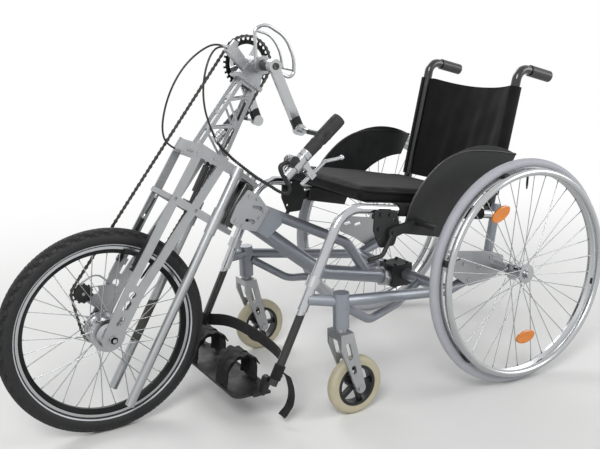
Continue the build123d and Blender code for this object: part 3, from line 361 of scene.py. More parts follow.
def gloss_black():
    """Stove-enamelled steel tube: deep black gloss with a light orange peel."""
    base = colours().black_paint
    material, shader, where = begin("black_enamel", base, 0.16, 0.0, Coat_Weight=0.6, Coat_Roughness=0.06)
    mottle(material, shader, where, base, tint(base, 2.2), 35, 0.12, 0.26)
    bump(material, shader, grain(material, where, 2.5), 0.02)
    return material


def moulded_black():
    """Injection-moulded nylon with a spark-eroded grain."""
    base = colours().black_plastic
    material, shader, where = begin("grained_black_nylon", base, 0.55)
    mottle(material, shader, where, tint(base, 0.75), tint(base, 1.5), 30, 0.45, 0.66)
    bump(material, shader, grain(material, where, 1.1, 5.0), 0.12, 0.7)
    return material


def woven_black():
    """Plain-woven nylon pack cloth. Its threads are drawn 2.4 mm apart, coarser than real, to show."""
    base = colours().cloth
    material, shader, where = begin("woven_nylon_cloth", base, 0.85, 0.0, Sheen_Weight=0.06, Sheen_Roughness=0.5,
                                    Specular_IOR_Level=0.25)
    mottle(material, shader, where, tint(base, 0.75), tint(base, 1.35), 45, 0.8, 0.92)
    threads = []
    for axis in ("Y", "Z"):
        wave = add_node(material, "ShaderNodeTexWave", {"wave_type": "BANDS", "bands_direction": axis,
                                                        "Scale": 2 * math.pi / (2.4 * MM) / 20, "Distortion": 0.6,
                                                        "Detail": 1.0}, {"Vector": where})
        threads.append(wave.outputs["Fac"])
    weave = add_node(material, "ShaderNodeMath", {"operation": "MAXIMUM"}, {0: threads[0], 1: threads[1]})
    bump(material, shader, weave.outputs[0], 0.25, 0.6)
    return material


def ribbed_webbing():
    """Polyester webbing: ribs 1.8 mm apart along the strap, frayed a little at random."""
    base = colours().webbing
    material, shader, where = begin("ribbed_polyester_webbing", base, 0.75, 0.0, Sheen_Weight=0.06,
                                    Specular_IOR_Level=0.3)
    mottle(material, shader, where, tint(base, 0.8), tint(base, 1.5), 14, 0.66, 0.88)
    strap = add_node(material, "ShaderNodeUVMap")
    wave = add_node(material, "ShaderNodeTexWave", {"wave_type": "BANDS", "bands_direction": "Y",
                                                    "Scale": 2 * math.pi / (1.8 * MM) / 20, "Distortion": 1.0,
                                                    "Detail": 2.0}, {"Vector": strap.outputs[0]})
    bump(material, shader, wave.outputs["Fac"], 0.3, 0.7)
    return material


def grey_rubber():
    """Non-marking grey tyre rubber, moulded smooth and scuffed along its tread."""
    base = colours().grey_tyre
    material, shader, where = begin("non_marking_grey_rubber", base, 0.6)
    mottle(material, shader, where, tint(base, 0.85), tint(base, 1.08), 22, 0.52, 0.72)
    bump(material, shader, grain(material, where, 1.6, 4.0), 0.1, 0.6)
    return material


def black_rubber():
    """Black tyre rubber with road dust, and a pale stripe moulded into each wall."""
    base = colours().black_tyre
    material, shader, where = begin("black_tyre_rubber", base, 0.62)
    mottle(material, shader, where, tint(base, 0.8), tint(base, 1.5), 18, 0.5, 0.7)
    radius = radius_from(material, where, FRONT_AXLE)
    paint_over(material, shader, between(material, radius, 0.2122, 0.2152), colours().tyre_stripe, 0.4)
    bump(material, shader, grain(material, where, 1.4, 4.0), 0.1, 0.6)
    return material


def dark_rim():
    """Black anodised rim with bare, machined braking flanks."""
    base = colours().black_plastic
    material, shader, where = begin("black_anodised_rim", base, 0.36, 0.6)
    mottle(material, shader, where, tint(base, 0.8), tint(base, 1.6), 25, 0.3, 0.44)
    radius = radius_from(material, where, FRONT_AXLE)
    paint_over(material, shader, between(material, radius, 0.2025, 0.22), colours().polished, 0.25, 0.95)
    return material


def caster_finish(side):
    """A cream polyurethane tyre on a black moulded hub."""
    base = colours().caster_tyre
    name = "polyurethane_caster_" + ("left" if side < 0 else "right")
    material, shader, where = begin(name, base, 0.5)
    mottle(material, shader, where, tint(base, 0.82), tint(base, 1.06), 16, 0.44, 0.62)
    place = Matrix.Translation(chair(475, side * 248, 75))
    radius = radius_from(material, where, place)
    paint_over(material, shader, between(material, radius, -1.0, 0.0531), colours().black_plastic, 0.42)
    bump(material, shader, grain(material, where, 1.3, 4.0), 0.06, 0.6)
    return material


def crank_finish():
    """Polished crank arms whose lower ends are black, round a bright bearing, on sleeved spindles."""
    base = colours().polished
    material, shader, where = begin("polished_crank", base, 0.2, 0.95)
    mottle(material, shader, where, tint(base, 0.96), base, 60, 0.17, 0.25)
    radius = radius_from(material, where, spindle_place(-1))
    paint_over(material, shader, between(material, radius, 0.0145, 0.034), colours().black_plastic, 0.35, 0.2)
    outward = add_node(material, "ShaderNodeMath", {"operation": "ABSOLUTE"}, {0: height_of(material, where, 1)})
    sleeve = add_node(material, "ShaderNodeMath", {"operation": "MULTIPLY"},
                      {0: between(material, radius, -1.0, 0.0075), 1: between(material, outward.outputs[0], 0.15, 1.0)})
    paint_over(material, shader, sleeve.outputs[0], colours().black_plastic, 0.5, 0.0)
    return material


def handle_finish(side):
    """A polished handle core, black where the rubber of the grip is moulded on."""
    base = colours().polished
    material, shader, where = begin("polished_handle_" + ("left" if side < 0 else "right"), base, 0.22, 0.95)
    mottle(material, shader, where, tint(base, 0.96), base, 60, 0.19, 0.27)
    height = height_of(material, seen_from(material, where, spindle_place(side)))
    paint_over(material, shader, between(material, height, -0.0575, 0.09), colours().grip, 0.7, 0.0)
    return material


def chainring_finish():
    """A black toothed ring on a bright five-armed spider."""
    base = colours().black_plastic
    material, shader, where = begin("black_ring_bright_spider", base, 0.4, 0.7)
    mottle(material, shader, where, tint(base, 0.8), tint(base, 1.6), 25, 0.34, 0.5)
    radius = radius_from(material, where, CRANK)
    paint_over(material, shader, between(material, radius, -1.0, 0.0465), colours().polished, 0.24, 0.95)
    return material


def stand_finish(side):
    """Satin anodised tube. The right one has a dark grip sleeve half-way down."""
    base = colours().silver
    material, shader, where = begin("satin_stand_" + ("left" if side < 0 else "right"), base, 0.32, 0.9)
    mottle(material, shader, where, tint(base, 0.97), tint(base, 1.03), 60, 0.3, 0.36)
    if side > 0:
        band = between(material, height_of(material, where), 0.19, 0.285)
        paint_over(material, shader, band, colours().dark_steel, 0.6, 0.1)
    return material


def post_and_grip():
    """Black enamelled back posts under matte rubber push grips."""
    base = colours().black_paint
    material, shader, where = begin("black_enamel_and_push_grip", base, 0.18, 0.0, Coat_Weight=0.5,
                                    Coat_Roughness=0.08)
    mottle(material, shader, where, base, tint(base, 2.0), 35, 0.14, 0.26)
    grips = between(material, height_of(material, where, 0), 0.6236, 2.0)
    paint_over(material, shader, grips, colours().grip, 0.75)
    bump(material, shader, grain(material, where, 1.1, 5.0), 0.05, 0.6)
    return material


def collar_and_tube():
    """Black footrest tubes under bare collars."""
    base = colours().black_paint
    material, shader, where = begin("black_enamel_and_collar", base, 0.16, 0.0, Coat_Weight=0.5, Coat_Roughness=0.06)
    mottle(material, shader, where, base, tint(base, 2.2), 35, 0.12, 0.26)
    paint_over(material, shader, between(material, height_of(material, where), 0.272, 0.5), colours().polished,
               0.28, 0.95)
    return material


def clamp_and_collar():
    """A black clamp block with a bare eight-sided collar."""
    base = colours().black_plastic
    material, shader, where = begin("black_block_and_collar", base, 0.45)
    mottle(material, shader, where, tint(base, 0.8), tint(base, 1.6), 20, 0.38, 0.56)
    paint_over(material, shader, between(material, height_of(material, where, 0), -1.0, 0.2885), colours().silver,
               0.34, 0.9)
    bump(material, shader, grain(material, where, 1.2, 4.0), 0.06)
    return material


def bracket_finish():
    """The crank bracket: silver shell. The black rubber under-side below the wedge is not painted, so it stays silver.
    """
    base = colours().silver
    material, shader, where = begin("anodised_crank_bracket", base, 0.36, 0.88)
    mottle(material, shader, where, tint(base, 0.9), tint(base, 1.05), 28, 0.3, 0.46)
    return material


def grip_rubber():
    """Dark grey moulded rubber, matte with a fine leathery grain."""
    base = colours().grip
    material, shader, where = begin("moulded_grip_rubber", base, 0.7)
    mottle(material, shader, where, tint(base, 0.8), tint(base, 1.35), 20, 0.6, 0.8)
    bump(material, shader, grain(material, where, 0.9, 5.0), 0.15, 0.8)
    return material


def cable_jacket():
    """Extruded black cable jacket, slightly glossy."""
    base = colours().black_paint
    material, shader, where = begin("extruded_cable_jacket", base, 0.35)
    mottle(material, shader, where, base, tint(base, 2.0), 30, 0.28, 0.46)
    return material


def amber_lens():
    """Moulded amber acrylic with rows of small prisms 3 mm apart behind its face."""
    base = colours().reflector
    material, shader, where = begin("amber_reflector_acrylic", base, 0.18, 0.0, Coat_Weight=0.5,
                                    Coat_Roughness=0.05)
    prism = add_node(material, "ShaderNodeTexVoronoi", {"Scale": 1 / (3.0 * MM)}, {"Vector": where})
    tone = add_node(material, "ShaderNodeMix", {"data_type": "RGBA", 6: rgba(tint(base, 0.7)),
                                                7: rgba(tint(base, 1.15))}, {0: prism.outputs["Distance"]})
    join_to(material, tone.outputs[2], shader, "Base Color")
    bump(material, shader, prism.outputs["Distance"], 0.4, 0.5)
    return material


MAKERS = {
    "powder_coat": powder_coat, "anodised_silver": anodised_silver, "brushed_plate": brushed_plate,
    "polished_alloy": polished_alloy, "chrome_plate": chrome_plate, "stainless": stainless,
    "oiled_steel": oiled_steel, "gloss_black": gloss_black, "moulded_black": moulded_black,
    "woven_black": woven_black, "ribbed_webbing": ribbed_webbing, "grey_rubber": grey_rubber,
    "black_rubber": black_rubber, "dark_rim": dark_rim, "grip_rubber": grip_rubber,
    "collar_and_tube": collar_and_tube, "clamp_and_collar": clamp_and_collar, "bracket_finish": bracket_finish,
    "cable_jacket": cable_jacket, "amber_lens": amber_lens,
    "caster_left": lambda: caster_finish(-1), "caster_right": lambda: caster_finish(1),
    "crank_finish": crank_finish, "chainring_finish": chainring_finish, "post_and_grip": post_and_grip,
    "stand_left": lambda: stand_finish(-1), "stand_right": lambda: stand_finish(1),
    "handle_left": lambda: handle_finish(-1), "handle_right": lambda: handle_finish(1),
}

CARRIED_FINISHES = {
    "powder_coat": ("base_frame", "coupling_frame"),
    "chrome_plate": ("seat_hangers",),
    "anodised_silver": ("fork_crown", "fork_blades", "docking_plates", "caster_fork_left", "caster_fork_right",
                        "chain_tensioner", "stand_clamps", "axle_plates"),
    "brushed_plate": ("mast",),
    "bracket_finish": ("crank_bracket",),
    "polished_alloy": ("rear_rim_left", "rear_rim_right", "handrim_left", "handrim_right", "guard_hoop",
                       "brake_lever"),
    "stainless": ("rear_hub_left", "rear_hub_right", "front_hub", "wheel_axles", "front_axle"),
    "oiled_steel": ("hub_sprocket", "crank_axle"),
    "chainring_finish": ("chainring",), "crank_finish": ("crank_arms",), "post_and_grip": ("backrest_posts",),
    "stand_left": ("stand_left",), "stand_right": ("stand_right",),
    "handle_left": ("handle_left",), "handle_right": ("handle_right",),
    "gloss_black": ("head_tube", "steering_damper"),
    "moulded_black": ("lock_brackets", "wheel_lock_left", "wheel_lock_right", "footplate", "guide_pulley",
                      "brake_arm_left", "brake_arm_right", "side_guards"),
    "dark_rim": ("front_rim",),
    "collar_and_tube": ("footrest_tubes",),
    "clamp_and_collar": ("coupling_clamp",),
    "caster_left": ("caster_wheel_left",), "caster_right": ("caster_wheel_right",),
}


# Modelling helpers

def only(*pieces):
    """Select these pieces and nothing else."""
    bpy.ops.object.select_all(action="DESELECT")
    for piece in pieces:
        piece.select_set(True)
    bpy.context.view_layer.objects.active = pieces[0]


def open_mesh(piece):
    only(piece)
    bpy.ops.object.mode_set(mode="EDIT")
    bpy.ops.mesh.select_mode(type="FACE")
    bpy.ops.mesh.select_all(action="DESELECT")


def close_mesh():
    bpy.ops.object.mode_set(mode="OBJECT")


def pick_faces(piece, test):
    """Select the faces whose middle and normal pass a test."""
    mesh = bmesh.from_edit_mesh(piece.data)
    for face in mesh.faces:
        face.select_set(bool(test(face.calc_center_median(), face.normal)))
    mesh.select_flush_mode()
    bmesh.update_edit_mesh(piece.data)


def apply_modifiers(piece):
    only(piece)
    for modifier in list(piece.modifiers):
        bpy.ops.object.modifier_apply(modifier=modifier.name)


def set_down(piece, place=None):
    """Move a piece to its place in its mesh, so that its object stays at the origin."""
    only(piece)
    if place is not None:
        piece.matrix_world = place @ piece.matrix_world
    bpy.ops.object.transform_apply(location=True, rotation=True, scale=True)


def complete(piece, name, finish_name, body, smooth=35.0):
    """Name a piece, give it its finish and let it ride on its body."""
    piece.name = piece.data.name = name
    piece.data.materials.clear()
    piece.data.materials.append(finish(finish_name))
    set_down(piece)
    if piece.type == "MESH":
        bpy.ops.object.shade_smooth_by_angle(angle=math.radians(smooth))
    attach(piece, body)
    return piece


def repeat(piece, places):
    """Copies of one modelled piece, each with its own mesh, joined as one."""
    copies = []
    for place in places:
        twin = bpy.data.objects.new(piece.name, piece.data.copy())
        bpy.context.scene.collection.objects.link(twin)
        twin.matrix_world = place @ piece.matrix_world
        copies.append(twin)
    bpy.data.objects.remove(piece)
    only(*copies)
    if len(copies) > 1:
        bpy.ops.object.join()
    return bpy.context.view_layer.objects.active


def recalculate(piece):
    open_mesh(piece)
    bpy.ops.mesh.select_all(action="SELECT")
    bpy.ops.mesh.remove_doubles(threshold=0.00002)
    bpy.ops.mesh.normals_make_consistent(inside=False)
    close_mesh()


def cylinder(radius, depth, sides=24, place=None):
    """A cylinder along the place's Z, in millimetres."""
    bpy.ops.object.select_all(action="DESELECT")
    bpy.ops.mesh.primitive_cylinder_add(vertices=sides, radius=radius * MM, depth=depth * MM)
    piece = bpy.context.active_object
    if place is not None:
        set_down(piece, place)
    return piece


def block(x, y, z, place=None):
    """A box by its side lengths in millimetres."""
    bpy.ops.object.select_all(action="DESELECT")
    bpy.ops.mesh.primitive_cube_add(size=1.0)
    piece = bpy.context.active_object
    piece.scale = millimetres(x, y, z)
    set_down(piece, place)
    return piece


def soften(piece, width, segments=2, angle=30.0):
    """Round a piece's sharp edges by a width in millimetres."""
    modifier = piece.modifiers.new("rounding", "BEVEL")
    modifier.width = width * MM
    modifier.segments = segments
    modifier.limit_method = "ANGLE"
    modifier.angle_limit = math.radians(angle)
    apply_modifiers(piece)
    return piece


def tube(name, points, radius, resolution=4, order=3, kind="NURBS"):
    """A round tube along one smooth line."""
    curve = bpy.data.curves.new(name, "CURVE")
    curve.dimensions = "3D"
    curve.resolution_u = 10
    spline = curve.splines.new(kind)
    spline.points.add(len(points) - 1)
    for point, target in zip(spline.points, points):
        point.co = (*target, 1.0)
    if kind == "NURBS":
        spline.order_u = order
        spline.use_endpoint_u = True
    curve.bevel_depth = radius * MM
    curve.bevel_resolution = resolution
    curve.use_fill_caps = True
    piece = bpy.data.objects.new(name, curve)
    bpy.context.scene.collection.objects.link(piece)
    return piece


def line_of(piece):
    """Points along a curve's own middle line."""
    depth = piece.data.bevel_depth
    piece.data.bevel_depth = 0.0
    bpy.context.view_layer.update()
    mesh = bpy.data.meshes.new_from_object(piece)
    points = [vertex.co.copy() for vertex in mesh.vertices]
    bpy.data.meshes.remove(mesh)
    piece.data.bevel_depth = depth
    return points


def as_mesh(piece):
    only(piece)
    bpy.ops.object.convert(target="MESH")
    return bpy.context.view_layer.objects.active


def shaped_sheet(columns, rows, place_at, thickness, name="sheet"):
    """A grid whose points go where place_at says for u and v from 0 to 1, given a thickness in millimetres."""
    bpy.ops.object.select_all(action="DESELECT")
    bpy.ops.mesh.primitive_grid_add(x_subdivisions=columns, y_subdivisions=rows, size=1.0)
    piece = bpy.context.active_object
    piece.name = name
    layer = piece.data.uv_layers.active
    for vertex in piece.data.vertices:
        u, v = vertex.co.x + 0.5, vertex.co.y + 0.5
        vertex.co = place_at(u, v)
    if layer is None:
        layer = piece.data.uv_layers.new(name="UVMap")
    if thickness:
        modifier = piece.modifiers.new("wall", "SOLIDIFY")
        modifier.thickness = thickness * MM
        modifier.offset = 0.0
        modifier.use_even_offset = True
        apply_modifiers(piece)
    return piece


def along(points):
    """A function from 0 to 1 to a place on straight runs, with the whole length."""
    lengths = [(b - a).length for a, b in zip(points, points[1:])]
    total = sum(lengths)

    def at(share):
        left = min(max(share, 0.0), 1.0) * total
        for a, b, run in zip(points, points[1:], lengths):
            if left <= run or b is points[-1]:
                return a.lerp(b, min(1.0, left / run) if run else 0.0)
            left -= run
        return points[-1]
    return at, total


def smooth_line(points, order=3, steps=12):
    """Points read from a smooth curve that has these control points."""
    guide = tube("guide", points, 0.0, order=order)
    guide.data.resolution_u = steps
    read = line_of(guide)
    bpy.data.objects.remove(guide)
    return read


def ribbon(name, points, width, thickness, across=Vector((0, 1, 0)), columns=4, edge_lift=0.0):
    """A flat strap along a smooth line, its width along a fixed direction."""
    line = smooth_line(points)
    at, total = along(line)
    rows = max(12, int(total / (5 * MM)))

    def place_at(u, v):
        lift = edge_lift * MM * math.sin(9 * math.pi * v) * (u - 0.5)
        return at(v) + across * ((u - 0.5) * width * MM) + Vector((0, 0, lift))
    piece = shaped_sheet(columns, rows, place_at, thickness, name)
    layer = piece.data.uv_layers.active
    for loop in piece.data.loops:
        co = piece.data.vertices[loop.vertex_index].co
        layer.data[loop.index].uv = (co.x + co.z, co.dot(across))
    return piece, total


def bolt_head(radius, height, socket=True):
    """A round head with a hexagon socket, along Z with its seat at zero."""
    piece = cylinder(radius, height, 18, Matrix.Translation(millimetres(0, 0, height / 2)))
    if socket:
        open_mesh(piece)
        pick_faces(piece, lambda centre, normal: normal.z > 0.9)
        bpy.ops.mesh.inset(thickness=0.42 * radius * MM)
        bpy.ops.mesh.extrude_region_move(TRANSFORM_OT_translate={"value": (0, 0, -0.55 * height * MM)})
        close_mesh()
    return soften(piece, 0.3 * min(1.0, height / 3), 2, 50)


def facing(point, direction, spin=0.0):
    """A place at a point whose Z is a direction."""
    turn = Vector(direction).normalized().to_track_quat("Z", "Y").to_matrix().to_4x4()
    return Matrix.Translation(point) @ turn @ Matrix.Rotation(spin, 4, "Z")


class DressingStep:
    """What every step shares: it has no settings of its own and can be run from the panel."""
    bl_options = {"REGISTER"}


class HANDCYCLE_OT_stage(DressingStep, bpy.types.Operator):
    """Pale floor, soft studio lamps and the camera"""
    bl_idname = "handcycle.stage"
    bl_label = "Stage"

    @staticmethod
    def seen_rays(holder):
        """1 for a ray from the camera, or one mirrored or passed on towards it."""
        rays = add_node(holder, "ShaderNodeLightPath")
        mirrored = add_node(holder, "ShaderNodeMath", {"operation": "MAXIMUM"},
                            {0: rays.outputs["Is Camera Ray"], 1: rays.outputs["Is Glossy Ray"]})
        return add_node(holder, "ShaderNodeMath", {"operation": "MAXIMUM"},
                        {0: mirrored.outputs[0], 1: rays.outputs["Is Transmission Ray"]}).outputs[0]

    def fade_to_white(self, material, shader):
        """Let the floor turn into the white background away from the object."""
        where = add_node(material, "ShaderNodeTexCoord").outputs["Object"]
        away = add_node(material, "ShaderNodeVectorMath", {"operation": "LENGTH"}, {0: where})
        ramp = add_node(material, "ShaderNodeMapRange", {"interpolation_type": "SMOOTHSTEP", "From Min": 0.9,
                                                         "From Max": 2.6}, {"Value": away.outputs["Value"]})
        share = add_node(material, "ShaderNodeMath", {"operation": "MULTIPLY"},
                         {0: ramp.outputs[0], 1: self.seen_rays(material)})
        white = add_node(material, "ShaderNodeEmission", {"Color": (1.0, 1.0, 1.0, 1.0), "Strength": 1.0})
        mixed = add_node(material, "ShaderNodeMixShader", {}, {0: share.outputs[0], 1: shader.outputs[0],
                                                               2: white.outputs[0]})
        material.node_tree.links.new(mixed.outputs[0], material.node_tree.nodes["Material Output"].inputs["Surface"])

    def execute(self, context):
        scene = context.scene
        scene.view_settings.view_transform = "Standard"
        bpy.ops.object.select_all(action="DESELECT")
        bpy.ops.mesh.primitive_plane_add(size=24.0, location=(0, 0, -0.0005))
        floor = context.active_object
        floor.name = "studio_floor"
        material = bpy.data.materials.new("pale_studio_floor")
        material.use_nodes = True
        shader = material.node_tree.nodes["Principled BSDF"]
        shader.inputs["Base Color"].default_value = rgba(linear("#e6e6e4"))
        shader.inputs["Roughness"].default_value = 0.8
        self.fade_to_white(material, shader)
        floor.data.materials.append(material)
        world = bpy.data.worlds.new("studio_air")
        scene.world = world
        world.use_nodes = True
        tree = world.node_tree
        soft = tree.nodes["Background"]
        soft.inputs["Color"].default_value = rgba(linear("#f2f4f6"))
        soft.inputs["Strength"].default_value = 0.42
        white = add_node(world, "ShaderNodeBackground", {"Color": (1.0, 1.0, 1.0, 1.0), "Strength": 1.0})
        pick = add_node(world, "ShaderNodeMixShader", {}, {0: self.seen_rays(world), 1: soft.outputs[0],
                                                           2: white.outputs[0]})
        tree.links.new(pick.outputs[0], tree.nodes["World Output"].inputs["Surface"])
        lamps = (("key", (-2.2, -2.6, 3.0), 95.0, 1.6), ("fill", (2.8, -2.2, 1.8), 45.0, 2.0),
                 ("back", (0.4, 2.8, 2.6), 55.0, 2.0))
        for name, spot, power, size in lamps:
            lamp = bpy.data.lights.new("lamp_" + name, "AREA")
            lamp.energy = power
            lamp.size = size
            holder = bpy.data.objects.new("lamp_" + name, lamp)
            scene.collection.objects.link(holder)
            holder.location = spot
            holder.rotation_euler = (Vector((0, 0, 0.4)) - Vector(spot)).to_track_quat("-Z", "Y").to_euler()
        lens = bpy.data.cameras.new("camera")
        lens.sensor_width = 36.0
        lens.lens = 36.0 * CAMERA_FOCAL / 600.0
        lens.clip_start = 0.05
        camera = bpy.data.objects.new("camera", lens)
        scene.collection.objects.link(camera)
        yaw, pitch, roll = CAMERA_TURN
        ahead = Vector((math.sin(yaw) * math.cos(pitch), math.cos(yaw) * math.cos(pitch), math.sin(pitch)))
        level = Vector((math.cos(yaw), -math.sin(yaw), 0.0))
        above = level.cross(ahead)
        right = level * math.cos(roll) + above * math.sin(roll)
        above = right.cross(ahead)
        camera.matrix_world = Matrix.Translation(Vector(CAMERA_SPOT)) @ Matrix(
            (right, above, -ahead)).transposed().to_4x4()
        scene.camera = camera
        return {"FINISHED"}


CAMERA_FOCAL = 854.6
CAMERA_SPOT = (-1.0882, -1.8631, 0.9882)
CAMERA_TURN = (0.532, -0.253, -0.021)


class HANDCYCLE_OT_carried(DressingStep, bpy.types.Operator):
    """Finishes for the pieces whose shape comes with the frame"""
    bl_idname = "handcycle.carried"
    bl_label = "Metal and plastic finishes"

    def execute(self, context):
        for finish_name, nodes in CARRIED_FINISHES.items():
            for name in nodes:
                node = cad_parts[name]
                node.data.materials.clear()
                node.data.materials.append(finish(finish_name))
        return {"FINISHED"}


class HANDCYCLE_OT_rear_tyres(DressingStep, bpy.types.Operator):
    """Grey rear tyres with moulded grooves round the tread"""
    bl_idname = "handcycle.rear_tyres"
    bl_label = "Rear tyres"

    def execute(self, context):
        for side, word in ((-1, "left"), (1, "right")):
            bpy.ops.object.select_all(action="DESELECT")
            bpy.ops.mesh.primitive_torus_add(major_radius=REAR_TYRE_MAJOR * MM, minor_radius=REAR_TYRE_MINOR * MM,
                                             major_segments=144, minor_segments=36)
            tyre = context.active_object
            open_mesh(tyre)

            def tread_groove(centre, normal):
                out = math.hypot(centre.x, centre.y) / MM - REAR_TYRE_MAJOR
                turn = math.degrees(math.atan2(abs(centre.z) / MM, out))
                return 8 < turn < 13 or 28 < turn < 33
            pick_faces(tyre, tread_groove)
            bpy.ops.mesh.inset(thickness=0.0005, depth=-0.0007)
            close_mesh()
            set_down(tyre, wheel_place(side) @ LYING_Y)
            complete(tyre, "rear_tyre_moulded_" + word, "grey_rubber", "rear_wheel_" + word, 50)
            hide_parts("rear_tyre_" + word)
        return {"FINISHED"}


class HANDCYCLE_OT_front_tyre(DressingStep, bpy.types.Operator):
    """Front tyre with raised tread blocks and a striped wall"""
    bl_idname = "handcycle.front_tyre"
    bl_label = "Front tyre"

    def execute(self, context):
        rows = sizes().tread_rows
        height = sizes().tread_height
        bpy.ops.object.select_all(action="DESELECT")
        bpy.ops.mesh.primitive_torus_add(major_radius=FRONT_TYRE_MAJOR * MM,
                                         minor_radius=FRONT_TYRE_MINOR * MM - height,
                                         major_segments=rows, minor_segments=40)
        tyre = context.active_object
        open_mesh(tyre)

        def bead(centre, normal):
            return math.hypot(centre.x, centre.y) / MM < 209.5
        pick_faces(tyre, bead)
        bpy.ops.transform.resize(value=(1, 1, 0.86))

        def tread_block(centre, normal):
            out = math.hypot(centre.x, centre.y) / MM - FRONT_TYRE_MAJOR
            turn = math.degrees(math.atan2(centre.z / MM, out))
            row = int((math.degrees(math.atan2(centre.y, centre.x)) % 360) / 360 * rows)
            if abs(turn) > 63:
                return False
            lane = round((turn - 4.5) / 9)
            return (row + lane // 2) % 3 != 0 or abs(turn) < 10
        pick_faces(tyre, tread_block)
        bpy.ops.mesh.inset(use_individual=True, thickness=0.0011, depth=height)
        close_mesh()
        set_down(tyre, FRONT_AXLE @ LYING_Y)
        complete(tyre, "front_tyre_treaded", "black_rubber", "front_wheel", 32)
        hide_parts("front_tyre")
        return {"FINISHED"}


class HANDCYCLE_OT_wheel_fittings(DressingStep, bpy.types.Operator):
    """Spoke nipples, valves, push rim stand-offs and spoke reflectors"""
    bl_idname = "handcycle.wheel_fittings"
    bl_label = "Wheel fittings"

    @staticmethod
    def nipples(count, rim_inner, place, name, body):
        nipple = cylinder(2.1, 9.0, 8, Matrix.Translation(millimetres(0, 0, 3.0)))
        open_mesh(nipple)
        pick_faces(nipple, lambda centre, normal: normal.z < -0.9)
        bpy.ops.transform.resize(value=(0.72, 0.72, 1.0))
        close_mesh()
        soften(nipple, 0.3, 1, 50)
        places = []
        for i in range(count):
            turn = Matrix.Rotation(-2 * math.pi * i / count, 4, "Y")
            y = 2.0 if i % 2 else -2.0
            places.append(place @ turn @ Matrix.Translation(millimetres(rim_inner - 4.5, y, 0))
                          @ Matrix.Rotation(math.radians(90), 4, "Y"))
        joined = repeat(nipple, places)
        complete(joined, name, "stainless", body, 40)

    @staticmethod
    def valve(rim_inner, place, name, body):
        stem = cylinder(3.0, 34.0, 14, Matrix.Translation(millimetres(0, 0, 17.0)))
        open_mesh(stem)
        pick_faces(stem, lambda centre, normal: normal.z > 0.9)
        bpy.ops.mesh.extrude_region_move(TRANSFORM_OT_translate={"value": (0, 0, 0.004)})
        bpy.ops.transform.resize(value=(0.7, 0.7, 1.0))
        bpy.ops.mesh.extrude_region_move(TRANSFORM_OT_translate={"value": (0, 0, 0.005)})
        close_mesh()
        soften(stem, 0.4, 2, 40)
        stem_place = (place @ Matrix.Rotation(math.radians(-85), 4, "Y")
                      @ Matrix.Translation(millimetres(rim_inner + 1, 0, 0)) @ Matrix.Rotation(math.radians(-90), 4, "Y"))
        set_down(stem, stem_place)
        complete(stem, name, "moulded_black", body, 40)

    def execute(self, context):
        self.nipples(36, FRONT_RIM_INNER, FRONT_AXLE, "front_nipples", "front_wheel")
        self.valve(FRONT_RIM_INNER, FRONT_AXLE, "front_valve", "front_wheel")
        for side, word in ((-1, "left"), (1, "right")):
            body = "rear_wheel_" + word
            place = wheel_place(side)
            self.nipples(36, REAR_RIM_INNER, place, "rear_nipples_" + word, body)
            self.valve(REAR_RIM_INNER, place, "rear_valve_" + word, body)
            standoff = block(12.5, 15.0, 16.0)
            soften(standoff, 2.2, 3)
            joined = repeat(standoff, [
                place @ Matrix.Rotation(math.radians(60 * k + 15), 4, "Y")
                @ Matrix.Translation(millimetres(HANDRIM_RADIUS + 5.5, side * 17.6, 0)) for k in range(6)])
            complete(joined, "push_rim_standoffs_" + word, "moulded_black", body, 40)
            lens = cylinder(1.0, 5.0, 40)
            lens.scale = (32.0, 17.0, 1.0)
            set_down(lens)
            open_mesh(lens)
            pick_faces(lens, lambda centre, normal: normal.z > 0.9)
            bpy.ops.mesh.inset(thickness=0.003)
            bpy.ops.transform.translate(value=(0, 0, 0.0012))
            bpy.ops.mesh.inset(thickness=0.002)
            bpy.ops.transform.translate(value=(0, 0, -0.0006))
            close_mesh()
            soften(lens, 0.8, 2, 40)
            outward = Matrix.Rotation(math.radians(90 if side < 0 else -90), 4, "X")
            places = []
            for angle, reach in ((math.radians(-115), 184.0), (math.radians(85), 180.0)):
                turn = Matrix.Rotation(angle, 4, "Y")
                places.append(place @ turn @ Matrix.Translation(millimetres(0, side * 9.0, 0))
                              @ Matrix.Translation(millimetres(reach, 0, 0)) @ outward
                              @ Matrix.Rotation(math.radians(90), 4, "Z"))
            joined = repeat(lens, places)
            complete(joined, "spoke_reflectors_" + word, "amber_lens", body, 30)
        return {"FINISHED"}


